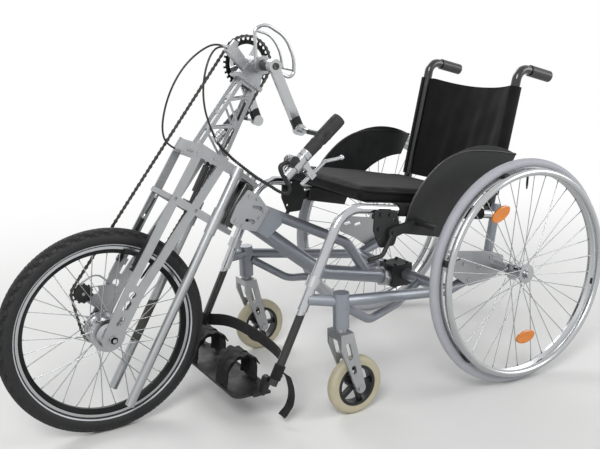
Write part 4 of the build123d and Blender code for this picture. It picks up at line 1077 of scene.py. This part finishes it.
class HANDCYCLE_OT_chain(DressingStep, bpy.types.Operator):
    """A roller chain of plates and rollers on the chain's line"""
    bl_idname = "handcycle.chain"
    bl_label = "Chain"

    @staticmethod
    def tip(teeth):
        return 12.7 / (2 * math.sin(math.pi / teeth)) + 2.2

    def chain_line(self):
        """Straight runs and arcs round three wheels, as a list of (function, length) in unit places."""
        clear = 3.45
        wheels = [(Vector((-CRANK_P, CRANK_S)), self.tip(30) + clear), (Vector((-212.0, -365.0)), self.tip(11) + clear),
                  (Vector((-FORK_OFFSET, -FORK_DROP)), self.tip(18) + clear)]
        joints = []
        for (a, ra), (b, rb) in zip(wheels, wheels[1:] + wheels[:1]):
            run = b - a
            share = (ra - rb) / run.length
            ahead = run.normalized()
            outward = ahead * share + Vector((ahead.y, -ahead.x)) * math.sqrt(1 - share * share)
            joints.append((a + outward * ra, b + outward * rb, math.atan2(outward.y, outward.x)))
        pieces = []
        for index, (start, end, angle) in enumerate(joints):
            pieces.append(("run", start, end, (end - start).length))
            centre, radius = wheels[(index + 1) % 3]
            sweep = (joints[(index + 1) % 3][2] - angle) % (2 * math.pi)
            pieces.append(("arc", centre, (radius, angle, sweep), radius * sweep))
        return pieces

    @staticmethod
    def point(pieces, distance):
        for kind, a, b, length in pieces:
            if distance > length:
                distance -= length
                continue
            if kind == "run":
                return a.lerp(b, distance / length)
            radius, angle, _ = b
            turn = angle + distance / radius
            return a + Vector((math.cos(turn), math.sin(turn))) * radius
        return pieces[0][1]

    def execute(self, context):
        pieces = self.chain_line()
        total = sum(piece[3] for piece in pieces)
        count = 2 * round(total / (sizes().chain_pitch / MM) / 2)
        pitch = total / count

        def plate_pair(half_gap, height, thickness):
            plates = []
            for y in (-half_gap - thickness / 2, half_gap + thickness / 2):
                plate = cylinder(height / 2, thickness, 14, Matrix.Translation(millimetres(0, y, 0)) @ LYING_Y)
                for vertex in plate.data.vertices:
                    if vertex.co.x > 0.0001:
                        vertex.co.x += pitch * MM
                open_mesh(plate)
                bpy.ops.mesh.select_all(action="SELECT")
                bpy.ops.mesh.bisect(plane_co=millimetres(pitch / 2, 0, 0), plane_no=(1, 0, 0))
                close_mesh()
                for vertex in plate.data.vertices:
                    if abs(vertex.co.x - pitch / 2 * MM) < 0.0005:
                        vertex.co.z *= 0.6
                plates.append(plate)
            only(*plates)
            bpy.ops.object.join()
            return soften(context.active_object, 0.25, 1, 50)
        inner = plate_pair(1.75, 7.4, 0.7)
        roller = cylinder(2.7, 3.4, 12, LYING_Y)
        only(inner, roller)
        bpy.ops.object.join()
        outer = plate_pair(2.6, 7.4, 0.7)
        pins = [cylinder(1.2, 6.4, 8, Matrix.Translation(millimetres(x, 0, 0)) @ LYING_Y) for x in (0, pitch)]
        second = cylinder(2.7, 3.4, 12, LYING_Y)
        only(outer, second, *pins)
        bpy.ops.object.join()
        places = ([], [])
        for index in range(count):
            a, b = self.point(pieces, index * pitch), self.point(pieces, (index + 1) % count * pitch)
            run = b - a
            turn = math.atan2(run.y, run.x)
            places[index % 2].append(UNIT @ Matrix.Translation(millimetres(a.x, 45.0, a.y))
                                     @ Matrix.Rotation(-turn, 4, "Y"))
        links = [repeat(inner, places[0]), repeat(outer, places[1])]
        only(*links)
        bpy.ops.object.join()
        chain = complete(context.active_object, "roller_chain", "oiled_steel", "steering", 35)
        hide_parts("chain")
        covers = []
        for y in (41.0, 49.0):
            cover = cylinder(21.5, 1.8, 40, UNIT @ Matrix.Translation(millimetres(-212.0, y, -365.0)) @ LYING_Y)
            covers.append(soften(cover, 0.5, 2))
        only(*covers)
        bpy.ops.object.join()
        complete(context.active_object, "guide_pulley_covers", "moulded_black", "pulley", 40)
        return {"FINISHED"}


BRAKE_ROUTE = ((232, 4, 306), (256, 5, 302), (279, 7, 268), (294, 10, 218), (294, 14, 162), (280, 18, 104),
               (256, 21, 56), (226, 23, 36), (194.5, 24, 41))
BRAKE_LOWER_ROUTE = ((178, 41, -74.5), (177, 41.5, -92), (176, 43, -114), (176, 46, -141))
GEAR_ROUTE = ((232, -4, 306), (252, -5, 297), (260, -7, 268), (250, -10, 222), (226, -14, 174), (188, -19, 132),
              (141, -23, 102))
WRAP_ROUTE = ((141, -23, 102), (98, -30, 89), (66, -48, 83), (52, -82, 76), (45, -122, 70), (40, -160, 67),
              (23, -194, 62), (12.5, -214, 66), (15, -218, 78), (25.3, -218, 84.3))


class HANDCYCLE_OT_cables(DressingStep, bpy.types.Operator):
    """Brake and gear cables, the gear cable in its spiral wrap, with metal end caps"""
    bl_idname = "handcycle.cables"
    bl_label = "Cables"

    def execute(self, context):
        routes = (("brake_cable_housing", BRAKE_ROUTE, 2.4), ("brake_cable_lower", BRAKE_LOWER_ROUTE, 2.4),
                  ("gear_cable_housing", GEAR_ROUTE, 2.4), ("gear_cable_core", WRAP_ROUTE, 3.3))
        for name, route, radius in routes:
            piece = tube(name, [unit(*point) for point in route], radius)
            complete(piece, name, "cable_jacket", "steering")
        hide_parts("cables")
        line = smooth_line([unit(*point) for point in WRAP_ROUTE])
        at, total = along(line)
        pitch = sizes().wrap_pitch
        turns = int(total / pitch)
        steps = 14
        points = []
        reference = Vector((0, 0, 1))
        for index in range(turns * steps + 1):
            share = index / (turns * steps)
            here = at(share)
            ahead = (at(min(1.0, share + 0.004)) - at(max(0.0, share - 0.004))).normalized()
            side = ahead.cross(reference).normalized()
            reference = side.cross(ahead).normalized()
            angle = 2 * math.pi * index / steps
            points.append(here + (side * math.cos(angle) + reference * math.sin(angle)) * 3.5 * MM)
        wrap = tube("gear_cable_wrap", points, 0.85, 1, kind="POLY")
        complete(wrap, "gear_cable_wrap", "moulded_black", "steering")
        caps = []
        for route in (BRAKE_ROUTE, BRAKE_LOWER_ROUTE, GEAR_ROUTE):
            for end, after in ((route[0], route[1]), (route[-1], route[-2])):
                place = facing(unit(*end), unit(*after) - unit(*end))
                cap = cylinder(3.3, 11.0, 16, Matrix.Translation(millimetres(0, 0, 3.5)))
                open_mesh(cap)
                pick_faces(cap, lambda centre, normal: normal.z > 0.9)
                bpy.ops.mesh.inset(thickness=0.0006)
                bpy.ops.mesh.extrude_region_move(TRANSFORM_OT_translate={"value": (0, 0, 0.002)})
                close_mesh()
                soften(cap, 0.3, 2, 40)
                set_down(cap, place)
                caps.append(cap)
        only(*caps)
        bpy.ops.object.join()
        complete(context.active_object, "cable_end_caps", "stainless", "steering", 40)
        return {"FINISHED"}


class HANDCYCLE_OT_seat(DressingStep, bpy.types.Operator):
    """A filled seat cushion on a cloth that is slung between the rails"""
    bl_idname = "handcycle.seat"
    bl_label = "Seat"

    @staticmethod
    def cushion_blank():
        base = 12.5 + 0.6 + 3.0
        thick = 28.0
        blank = block(402.0, 396.0, thick, Matrix.Translation(millimetres(-234.0, 0, base + 1.0 + thick / 2)))
        open_mesh(blank)
        for cut in (-160.0, -130.0):
            bpy.ops.mesh.select_all(action="SELECT")
            bpy.ops.mesh.bisect(plane_co=millimetres(cut, 0, 0), plane_no=(1, 0, 0))
        bpy.ops.mesh.select_mode(type="VERT")
        mesh = bmesh.from_edit_mesh(blank.data)
        for vertex in mesh.verts:
            vertex.select_set(vertex.co.x > -0.135)
        bmesh.update_edit_mesh(blank.data)
        bpy.ops.transform.resize(value=(1.0, 160.0 / 198.0, 1.0))
        close_mesh()
        return soften(blank, 9.0, 3)

    def execute(self, context):
        cushion = self.cushion_blank()
        modifier = cushion.modifiers.new("even_mesh", "REMESH")
        modifier.mode = "VOXEL"
        modifier.voxel_size = 6 * MM
        apply_modifiers(cushion)
        rest = np.empty(len(cushion.data.vertices) * 3)
        cushion.data.vertices.foreach_get("co", rest)
        rest = rest.reshape(-1, 3)
        cloth = cushion.modifiers.new("filling", "CLOTH")
        cloth.settings.use_pressure = True
        cloth.settings.uniform_pressure_force = 4.0
        cloth.settings.effector_weights.gravity = 0.0
        cloth.settings.quality = 5
        cloth.point_cache.frame_start = 1
        cloth.point_cache.frame_end = 16
        for step in range(1, 17):
            context.scene.frame_set(step)
        context.view_layer.update()
        settled = cushion.evaluated_get(context.evaluated_depsgraph_get())
        moved = np.empty(len(settled.data.vertices) * 3)
        settled.data.vertices.foreach_get("co", moved)
        move = moved.reshape(-1, 3) - rest
        reach = np.linalg.norm(move, axis=1, keepdims=True)
        move *= np.minimum(1.0, sizes().cushion_swell / np.maximum(reach, 1e-9))
        final = rest + move
        final[:, 2] = np.maximum(final[:, 2], 16.6 * MM)
        cushion.modifiers.clear()
        context.scene.frame_set(1)
        cushion.data.vertices.foreach_set("co", final.ravel())
        smooth = cushion.modifiers.new("smooth", "SUBSURF")
        smooth.levels = smooth.render_levels = 1
        apply_modifiers(cushion)
        set_down(cushion, SEAT)
        complete(cushion, "seat_cushion_filled", "woven_black", "chair", 60)
        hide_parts("seat_cushion")
        corners = ((-35, 158), (-126, 160), (-162, 196), (-432, 196), (-432, -196), (-162, -196), (-126, -160),
                   (-35, -158), (-35, 158))
        points = []
        for (x0, y0), (x1, y1) in zip(corners, corners[1:]):
            for share in (0.06, 0.35, 0.65, 0.94):
                points.append(SEAT @ millimetres(x0 + (x1 - x0) * share, y0 + (y1 - y0) * share, 41.5))
        points.append(points[0])
        piping = tube("seat_cushion_piping", points, 2.6, 3)
        complete(piping, "seat_cushion_piping", "woven_black", "chair")
        self.sling()
        return {"FINISHED"}

    @staticmethod
    def sling():
        ring = 12.5 + 0.5 + 1.5
        half_ring = [(-FRAME_HALF_WIDTH - ring * math.sin(a), ring * math.cos(a))
                     for a in [math.radians(200 - 10 * k) for k in range(21)]]
        flat = [(-FRAME_HALF_WIDTH + 418.0 * k / 14, ring - 3.0 * math.sin(math.pi * k / 14)) for k in range(1, 14)]
        other = [(-y, z) for y, z in reversed(half_ring)]
        profile = [Vector((0, y, z)) * MM for y, z in half_ring + flat + other]
        at, total = along(profile)

        def place_at(u, v):
            point = at(u)
            ripple = 0.6 * math.sin(14 * math.pi * v + 3 * u)
            return SEAT @ Vector((-(40 + 282 * v) * MM, point.y, point.z + ripple * 0.2 * MM))
        sling = shaped_sheet(90, 40, place_at, 2.4, "seat_sling")
        complete(sling, "seat_sling_cloth", "woven_black", "chair", 60)
        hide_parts("seat_sling")

        def flap_at(u, v):
            y = (u - 0.5) * 2 * (FRAME_HALF_WIDTH - 21)
            z = ring - 3.0 * math.cos(math.pi * (u - 0.5)) - 2.0 * v * v
            return SEAT @ millimetres(-(318 + 82 * v), y, z)
        flap = shaped_sheet(60, 16, flap_at, 2.2, "seat_flap")
        complete(flap, "seat_sling_front", "woven_black", "chair", 60)


class HANDCYCLE_OT_backrest(DressingStep, bpy.types.Operator):
    """The back cloth between sleeves on the posts, with its hems"""
    bl_idname = "handcycle.backrest"
    bl_label = "Backrest"

    def execute(self, context):
        low, high = 34.0, 326.0
        ring = 12.5 + 0.5 + 2.5
        bow = 32.0
        steps = 26
        back_ring = [(ring * math.sin(a), -POST_HALF_WIDTH - ring * math.cos(a)) for a in
                     [math.radians(-100 + 250 * k / 20) for k in range(21)]]
        profile = []
        for x, y in back_ring:
            profile.append(Vector((x, y, 0)))
        for k in range(1, steps):
            share = k / steps
            y = -POST_HALF_WIDTH + 2 * POST_HALF_WIDTH * share
            x = bow * (1 - (2 * share - 1) ** 2) - 2.0
            if abs(y) < POST_HALF_WIDTH - 8:
                profile.append(Vector((x, y, 0)))
        for x, y in reversed(back_ring):
            profile.append(Vector((x, -y, 0)))
        at, total = along(profile)
        dip_radius, dip_centre = 1190.0, low + 292 + 1180

        def top_at(y):
            return min(high, dip_centre - math.sqrt(dip_radius ** 2 - y * y))

        def place_at(u, v):
            point = at(u)
            free = max(0.0, 1.0 - (abs(point.y) / 172.0) ** 6)
            top = top_at(point.y)
            z = low + (top - low) * v
            fold = 2.2 * math.sin(point.y * 0.055 + 1.3) * math.sin(math.pi * v) ** 0.5
            fold += 1.5 * math.sin(point.y * 0.13 + z * 0.02) * (1 - 0.8 * v)
            fold += 0.8 * math.sin(point.y * 0.045 + z * 0.06)
            return BACK @ millimetres(point.x + fold * free, point.y, z)
        cover = shaped_sheet(150, 46, lambda u, v: place_at(u, v), 4.2, "back_cloth")
        complete(cover, "backrest_cloth", "woven_black", "backrest", 60)
        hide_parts("backrest_cover")
        for name, v in (("backrest_hem_top", 0.995), ("backrest_hem_low", 0.01)):
            points = [place_at(0.16 + 0.68 * k / 30, v) for k in range(31)]
            hem = tube(name, points, 2.6, 3)
            complete(hem, name, "woven_black", "backrest")
        return {"FINISHED"}


class HANDCYCLE_OT_straps(DressingStep, bpy.types.Operator):
    """Toe loops with a second strap and buckle, and the heel band with its loose tail"""
    bl_idname = "handcycle.straps"
    bl_label = "Foot straps"

    def execute(self, context):
        x0 = REAR_AXLE_X - FOOT_D
        z0 = FOOTPLATE_TOP + 0.8
        for y, word in ((-88, "left"), (88, "right")):
            path = [(3, 0), (7, 26), (6, 52), (-14, 64), (-36, 69), (-58, 56), (-70, 44), (-76, 22), (-78, 0)]
            points = [millimetres(x0 + x, y, z0 + z) for x, z in path]
            wide, length = ribbon("toe_loop_" + word, points, 60, 3.4, columns=10, edge_lift=4.0)
            complete(wide, "toe_loop_" + word, "ribbed_webbing", "footrest", 60)
            path = [(2, 12), (10, 30), (9, 56), (-14, 67.5), (-36, 72.6), (-60, 60), (-73.6, 46), (-79.6, 22),
                    (-80.8, 6)]
            points = [millimetres(x0 + x, y, z0 + z) for x, z in path]
            narrow, length = ribbon("toe_tie_" + word, points, 25, 1.8, columns=6)
            complete(narrow, "toe_tie_" + word, "ribbed_webbing", "footrest", 60)
            for label, path, width, skew in (
                    ("toe_pad_", [(12, 44), (2, 62), (-20, 73), (-44, 75), (-66, 62), (-78, 46)], 74, 0.0),
                    ("toe_cross_", [(-2, 8), (4, 34), (-6, 62), (-30, 78.5), (-56, 72), (-76, 52), (-82, 26), (-84, 8)],
                     34, math.radians(28))):
                points = [millimetres(x0 + x, y + (x + 36) * math.tan(skew) * 0.7, z0 + z) for x, z in path]
                layer_across = Vector((-math.sin(skew), math.cos(skew), 0.0))
                layer, length = ribbon(label + word, points, width, 3.2, across=layer_across, columns=10, edge_lift=5.0)
                complete(layer, label + word, "ribbed_webbing", "footrest", 60)
            buckle = block(16, 32, 5, Matrix.Translation(millimetres(x0 - 34, y, z0 + 70.5))
                           @ Matrix.Rotation(math.radians(-4), 4, "Y"))
            open_mesh(buckle)
            pick_faces(buckle, lambda centre, normal: normal.z > 0.9)
            bpy.ops.mesh.inset(thickness=0.003)
            bpy.ops.mesh.extrude_region_move(TRANSFORM_OT_translate={"value": (0, 0, -0.0025)})
            close_mesh()
            soften(buckle, 1.0, 2)
            complete(buckle, "toe_buckle_" + word, "moulded_black", "footrest", 40)
        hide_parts("toe_straps")
        self.heel(x0)
        return {"FINISHED"}

    @staticmethod
    def heel(x0):
        down = FOOT_RUN
        foot_end = Vector((x0, 0, FOOT_Z))
        centre = foot_end - down * 34
        reach = FRAME_HALF_WIDTH
        band_points = [(11.5, -reach, 0), (14, -reach + 8, 1), (40, -reach + 44, 6), (52, -reach + 100, 10),
                       (54, 0, 14), (52, reach - 100, 10), (40, reach - 44, 6), (14, reach - 8, 1), (11.5, reach, 0)]
        points = [millimetres(centre.x + x, y, centre.z + z) for x, y, z in band_points]
        band, length = ribbon("heel_band", points, 33, 2.6, across=Vector((0, 0, 1)), columns=6)
        complete(band, "heel_band", "ribbed_webbing", "chair", 60)
        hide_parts("heel_strap")
        for side, word in ((-1, "left"), (1, "right")):
            middle = Vector((x0, side * reach, FOOT_Z)) - down * 34
            sleeve = cylinder(12.3, 36, 36, facing(middle * MM, down))
            open_mesh(sleeve)
            pick_faces(sleeve, lambda centre_point, normal: abs(normal.dot(down)) > 0.9)
            bpy.ops.mesh.delete(type="FACE")
            close_mesh()
            wall = sleeve.modifiers.new("wall", "SOLIDIFY")
            wall.thickness = 2.6 * MM
            wall.offset = 0.0
            apply_modifiers(sleeve)
            layer = sleeve.data.uv_layers.active
            for loop in sleeve.data.loops:
                co = sleeve.data.vertices[loop.vertex_index].co
                layer.data[loop.index].uv = (co.x, co.dot(down))
            soften(sleeve, 0.6, 2, 50)
            complete(sleeve, "heel_sleeve_" + word, "ribbed_webbing", "chair", 50)
        tail_points = [(11, -4), (26, -12), (34, -36), (38, -60), (36, -84), (26, -104), (8, -118)]
        points = [millimetres(centre.x + x, -reach + 2, centre.z + z) for x, z in tail_points]
        tail, length = ribbon("heel_strap_tail", points, 29, 2.6, columns=6, edge_lift=2.0)
        complete(tail, "heel_strap_tail", "ribbed_webbing", "chair", 60)


class HANDCYCLE_OT_guards(DressingStep, bpy.types.Operator):
    """A rubber lip along each clothes guard's upper edge"""
    bl_idname = "handcycle.guards"
    bl_label = "Clothes guard lips"

    def execute(self, context):
        for side, word in ((-1, "left"), (1, "right")):
            y = side * 227.75
            upper = [(58, 590), (10, 602), (-50, 611), (-120, 618), (-186, 600), (-246, 556), (-288, 504),
                     (-300, 472), (-312, 430)]
            points = [millimetres(REAR_AXLE_X + x, y, z) for x, z in upper]
            lip = tube("guard_lip_" + word, points, 3.4, 3)
            complete(lip, "guard_lip_" + word, "cable_jacket", "chair")
        return {"FINISHED"}


class HANDCYCLE_OT_handles(DressingStep, bpy.types.Operator):
    """Shaped rubber grips, the ribbed gear drum and its cable boot"""
    bl_idname = "handcycle.handles"
    bl_label = "Hand grips"

    def execute(self, context):
        for side, word in ((-1, "left"), (1, "right")):
            place = spindle_place(side)
            grip = cylinder(17.0, 112.0, 48, Matrix.Translation(millimetres(0, 0, -1)))
            open_mesh(grip)
            for cut in (-50, -34, -26, -22, -18, -14, 8, 30, 44, 50):
                bpy.ops.mesh.select_all(action="SELECT")
                bpy.ops.mesh.bisect(plane_co=millimetres(0, 0, cut), plane_no=(0, 0, 1))
            close_mesh()
            widths = ((-58, 0.84), (-50, 0.88), (-34, 0.9), (-26, 0.94), (-22, 0.86), (-18, 0.86), (-14, 0.97),
                      (8, 0.985), (30, 1.0), (44, 1.0), (50, 0.97), (60, 0.9))
            for vertex in grip.data.vertices:
                z = vertex.co.z / MM
                for (z0, w0), (z1, w1) in zip(widths, widths[1:]):
                    if z0 <= z <= z1:
                        factor = w0 + (w1 - w0) * (z - z0) / (z1 - z0)
                        angle = math.atan2(vertex.co.y, vertex.co.x)
                        rib = 1.0 - (0.035 if z < -24 and int(math.degrees(angle) // 7.5) % 2 else 0.0)
                        vertex.co.x *= factor * rib
                        vertex.co.y *= factor * rib
                        break
            open_mesh(grip)
            pick_faces(grip, lambda centre, normal: abs(normal.z) > 0.9)
            bpy.ops.mesh.inset(thickness=0.003, use_individual=True)
            close_mesh()
            soften(grip, 1.4, 3, 50)
            set_down(grip, place)
            complete(grip, "hand_grip_" + word, "grip_rubber", "hand_" + word, 40)
            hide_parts("grip_" + word)
            plug = bolt_head(3.6, 1.6)
            set_down(plug, place @ facing(millimetres(0, side * 16.4, 12), (0, side, 0)))
            complete(plug, "grip_screw_" + word, "oiled_steel", "hand_" + word, 40)
        place = spindle_place(-1)
        drum = cylinder(12.9, 30.5, 48, Matrix.Translation(millimetres(-15, 0, -99)) @ LYING_Y)
        open_mesh(drum)
        axis_x, axis_z = -15 * MM, -99 * MM

        def rib(centre, normal):
            if abs(normal.y) > 0.5:
                return False
            return int(math.degrees(math.atan2(centre.z - axis_z, centre.x - axis_x)) // 7.5) % 2 == 0
        pick_faces(drum, rib)
        bpy.ops.mesh.inset(use_individual=True, thickness=0.0004, depth=-sizes().knurl_depth)
        close_mesh()
        soften(drum, 0.5, 2, 60)
        set_down(drum, place)
        complete(drum, "gear_drum", "moulded_black", "hand_left", 40)
        boot = tube("cable_boot", [place @ millimetres(*point) for point in (
            (-18, 0, -102), (-24, 0, -118), (-27, 0, -128), (-14, 0, -134), (6, 0, -137), (19, 0, -140))], 6.3, 4)
        complete(boot, "cable_boot", "moulded_black", "hand_left")
        for side, word in ((-1, "left"), (1, "right")):
            rings = []
            for low, high in ((-72, -58), (-92, -76)):
                ring = cylinder(14.9, high - low - 0.6, 40,
                                Matrix.Translation(millimetres(0, 0, (low + high) / 2)))
                open_mesh(ring)
                pick_faces(ring, lambda centre, normal: abs(normal.z) < 0.5)
                bpy.ops.mesh.inset(thickness=0.0028, depth=-0.0009)
                close_mesh()
                rings.append(soften(ring, 0.5, 2, 50))
            only(*rings)
            bpy.ops.object.join()
            set_down(context.active_object, spindle_place(side))
            complete(context.active_object, "handle_rings_" + word, "polished_alloy", "hand_" + word,
                     40)
        return {"FINISHED"}


class HANDCYCLE_OT_fasteners(DressingStep, bpy.types.Operator):
    """Socket-head bolts and axle nuts"""
    bl_idname = "handcycle.fasteners"
    bl_label = "Fasteners"

    def heads(self, name, body, spots, radius, height, finish_name="stainless", slot="steel"):
        head = bolt_head(radius, height)
        joined = repeat(head, [facing(point, direction) for point, direction in spots])
        complete(joined, name, finish_name, body, 40)

    def execute(self, context):
        across = Vector((0, 1, 0))
        spots = []
        for side in (-1, 1):
            for p, s in ((184, 52), (96, 52), (140, 62)):
                spots.append((unit(p, side * 60, s), across * side))
        self.heads("fork_bolts", "steering", spots, 4.2, 2.6)
        spots = [(chair(d, side * (231 + 0.0), z), across * side) for side in (-1, 1)
                 for d, z in ((112, 318), (60, 300), (20, 322), (96, 270))]
        self.heads("axle_plate_bolts", "chair", spots, 6.0, 3.0)
        spots = [(unit(p, side * 29, s), across * side) for side in (-1, 1) for p, s in ((-8, 34), (-8, -34), (-64, 22))]
        self.heads("docking_bolts", "chair", spots, 5.0, 3.0)
        spots = [(unit(p, side * 23, s), across * side) for side in (-1, 1) for p, s in ((160, 266), (124, 266))]
        self.heads("bracket_bolts", "steering", spots, 3.2, 2.2)
        spots = [(CRANK @ millimetres(0, side * 104, 0), across * side) for side in (-1, 1)]
        self.heads("crank_bolts", "crank", spots, 8.2, 3.0, "oiled_steel", "dark_steel")
        nuts = []
        for side in (-1, 1):
            nut = cylinder(10.2, 8.0, 6, facing(FRONT_AXLE @ millimetres(0, side * 66, 0), across * side))
            nuts.append(soften(nut, 0.7, 2, 30))
        only(*nuts)
        bpy.ops.object.join()
        complete(context.active_object, "front_axle_nuts", "stainless", "steering", 30)
        return {"FINISHED"}


PANEL_STEPS = (HANDCYCLE_OT_stage, HANDCYCLE_OT_carried, HANDCYCLE_OT_rear_tyres, HANDCYCLE_OT_front_tyre,
               HANDCYCLE_OT_wheel_fittings, HANDCYCLE_OT_chain, HANDCYCLE_OT_cables, HANDCYCLE_OT_seat,
               HANDCYCLE_OT_backrest, HANDCYCLE_OT_straps, HANDCYCLE_OT_guards, HANDCYCLE_OT_handles,
               HANDCYCLE_OT_fasteners)


class HANDCYCLE_PT_steps(bpy.types.Panel):
    """The steps in the order in which they are run, with the settings that they use"""
    bl_label = "Handcycle"
    bl_space_type = "VIEW_3D"
    bl_region_type = "UI"
    bl_category = "Handcycle"

    def draw(self, context):
        for step in PANEL_STEPS:
            self.layout.operator(step.bl_idname)
        for group in (context.scene.handcycle_sizes, context.scene.handcycle_colours):
            box = self.layout.box()
            for name in group.__annotations__:
                box.prop(group, name)


CLASSES = (HandcycleColours, HandcycleSizes, *PANEL_STEPS, HANDCYCLE_PT_steps)


def register():
    for cls in CLASSES:
        bpy.utils.register_class(cls)
    bpy.types.Scene.handcycle_colours = PointerProperty(type=HandcycleColours)
    bpy.types.Scene.handcycle_sizes = PointerProperty(type=HandcycleSizes)


def unregister():
    del bpy.types.Scene.handcycle_sizes
    del bpy.types.Scene.handcycle_colours
    for cls in reversed(CLASSES):
        bpy.utils.unregister_class(cls)


def main():
    register()
    bpy.ops.handcycle.stage()
    bpy.ops.handcycle.carried()
    bpy.ops.handcycle.rear_tyres()
    bpy.ops.handcycle.front_tyre()
    bpy.ops.handcycle.wheel_fittings()
    bpy.ops.handcycle.chain()
    bpy.ops.handcycle.cables()
    bpy.ops.handcycle.seat()
    bpy.ops.handcycle.backrest()
    bpy.ops.handcycle.straps()
    bpy.ops.handcycle.guards()
    bpy.ops.handcycle.handles()
    bpy.ops.handcycle.fasteners()


if __name__ == "__main__":
    main()
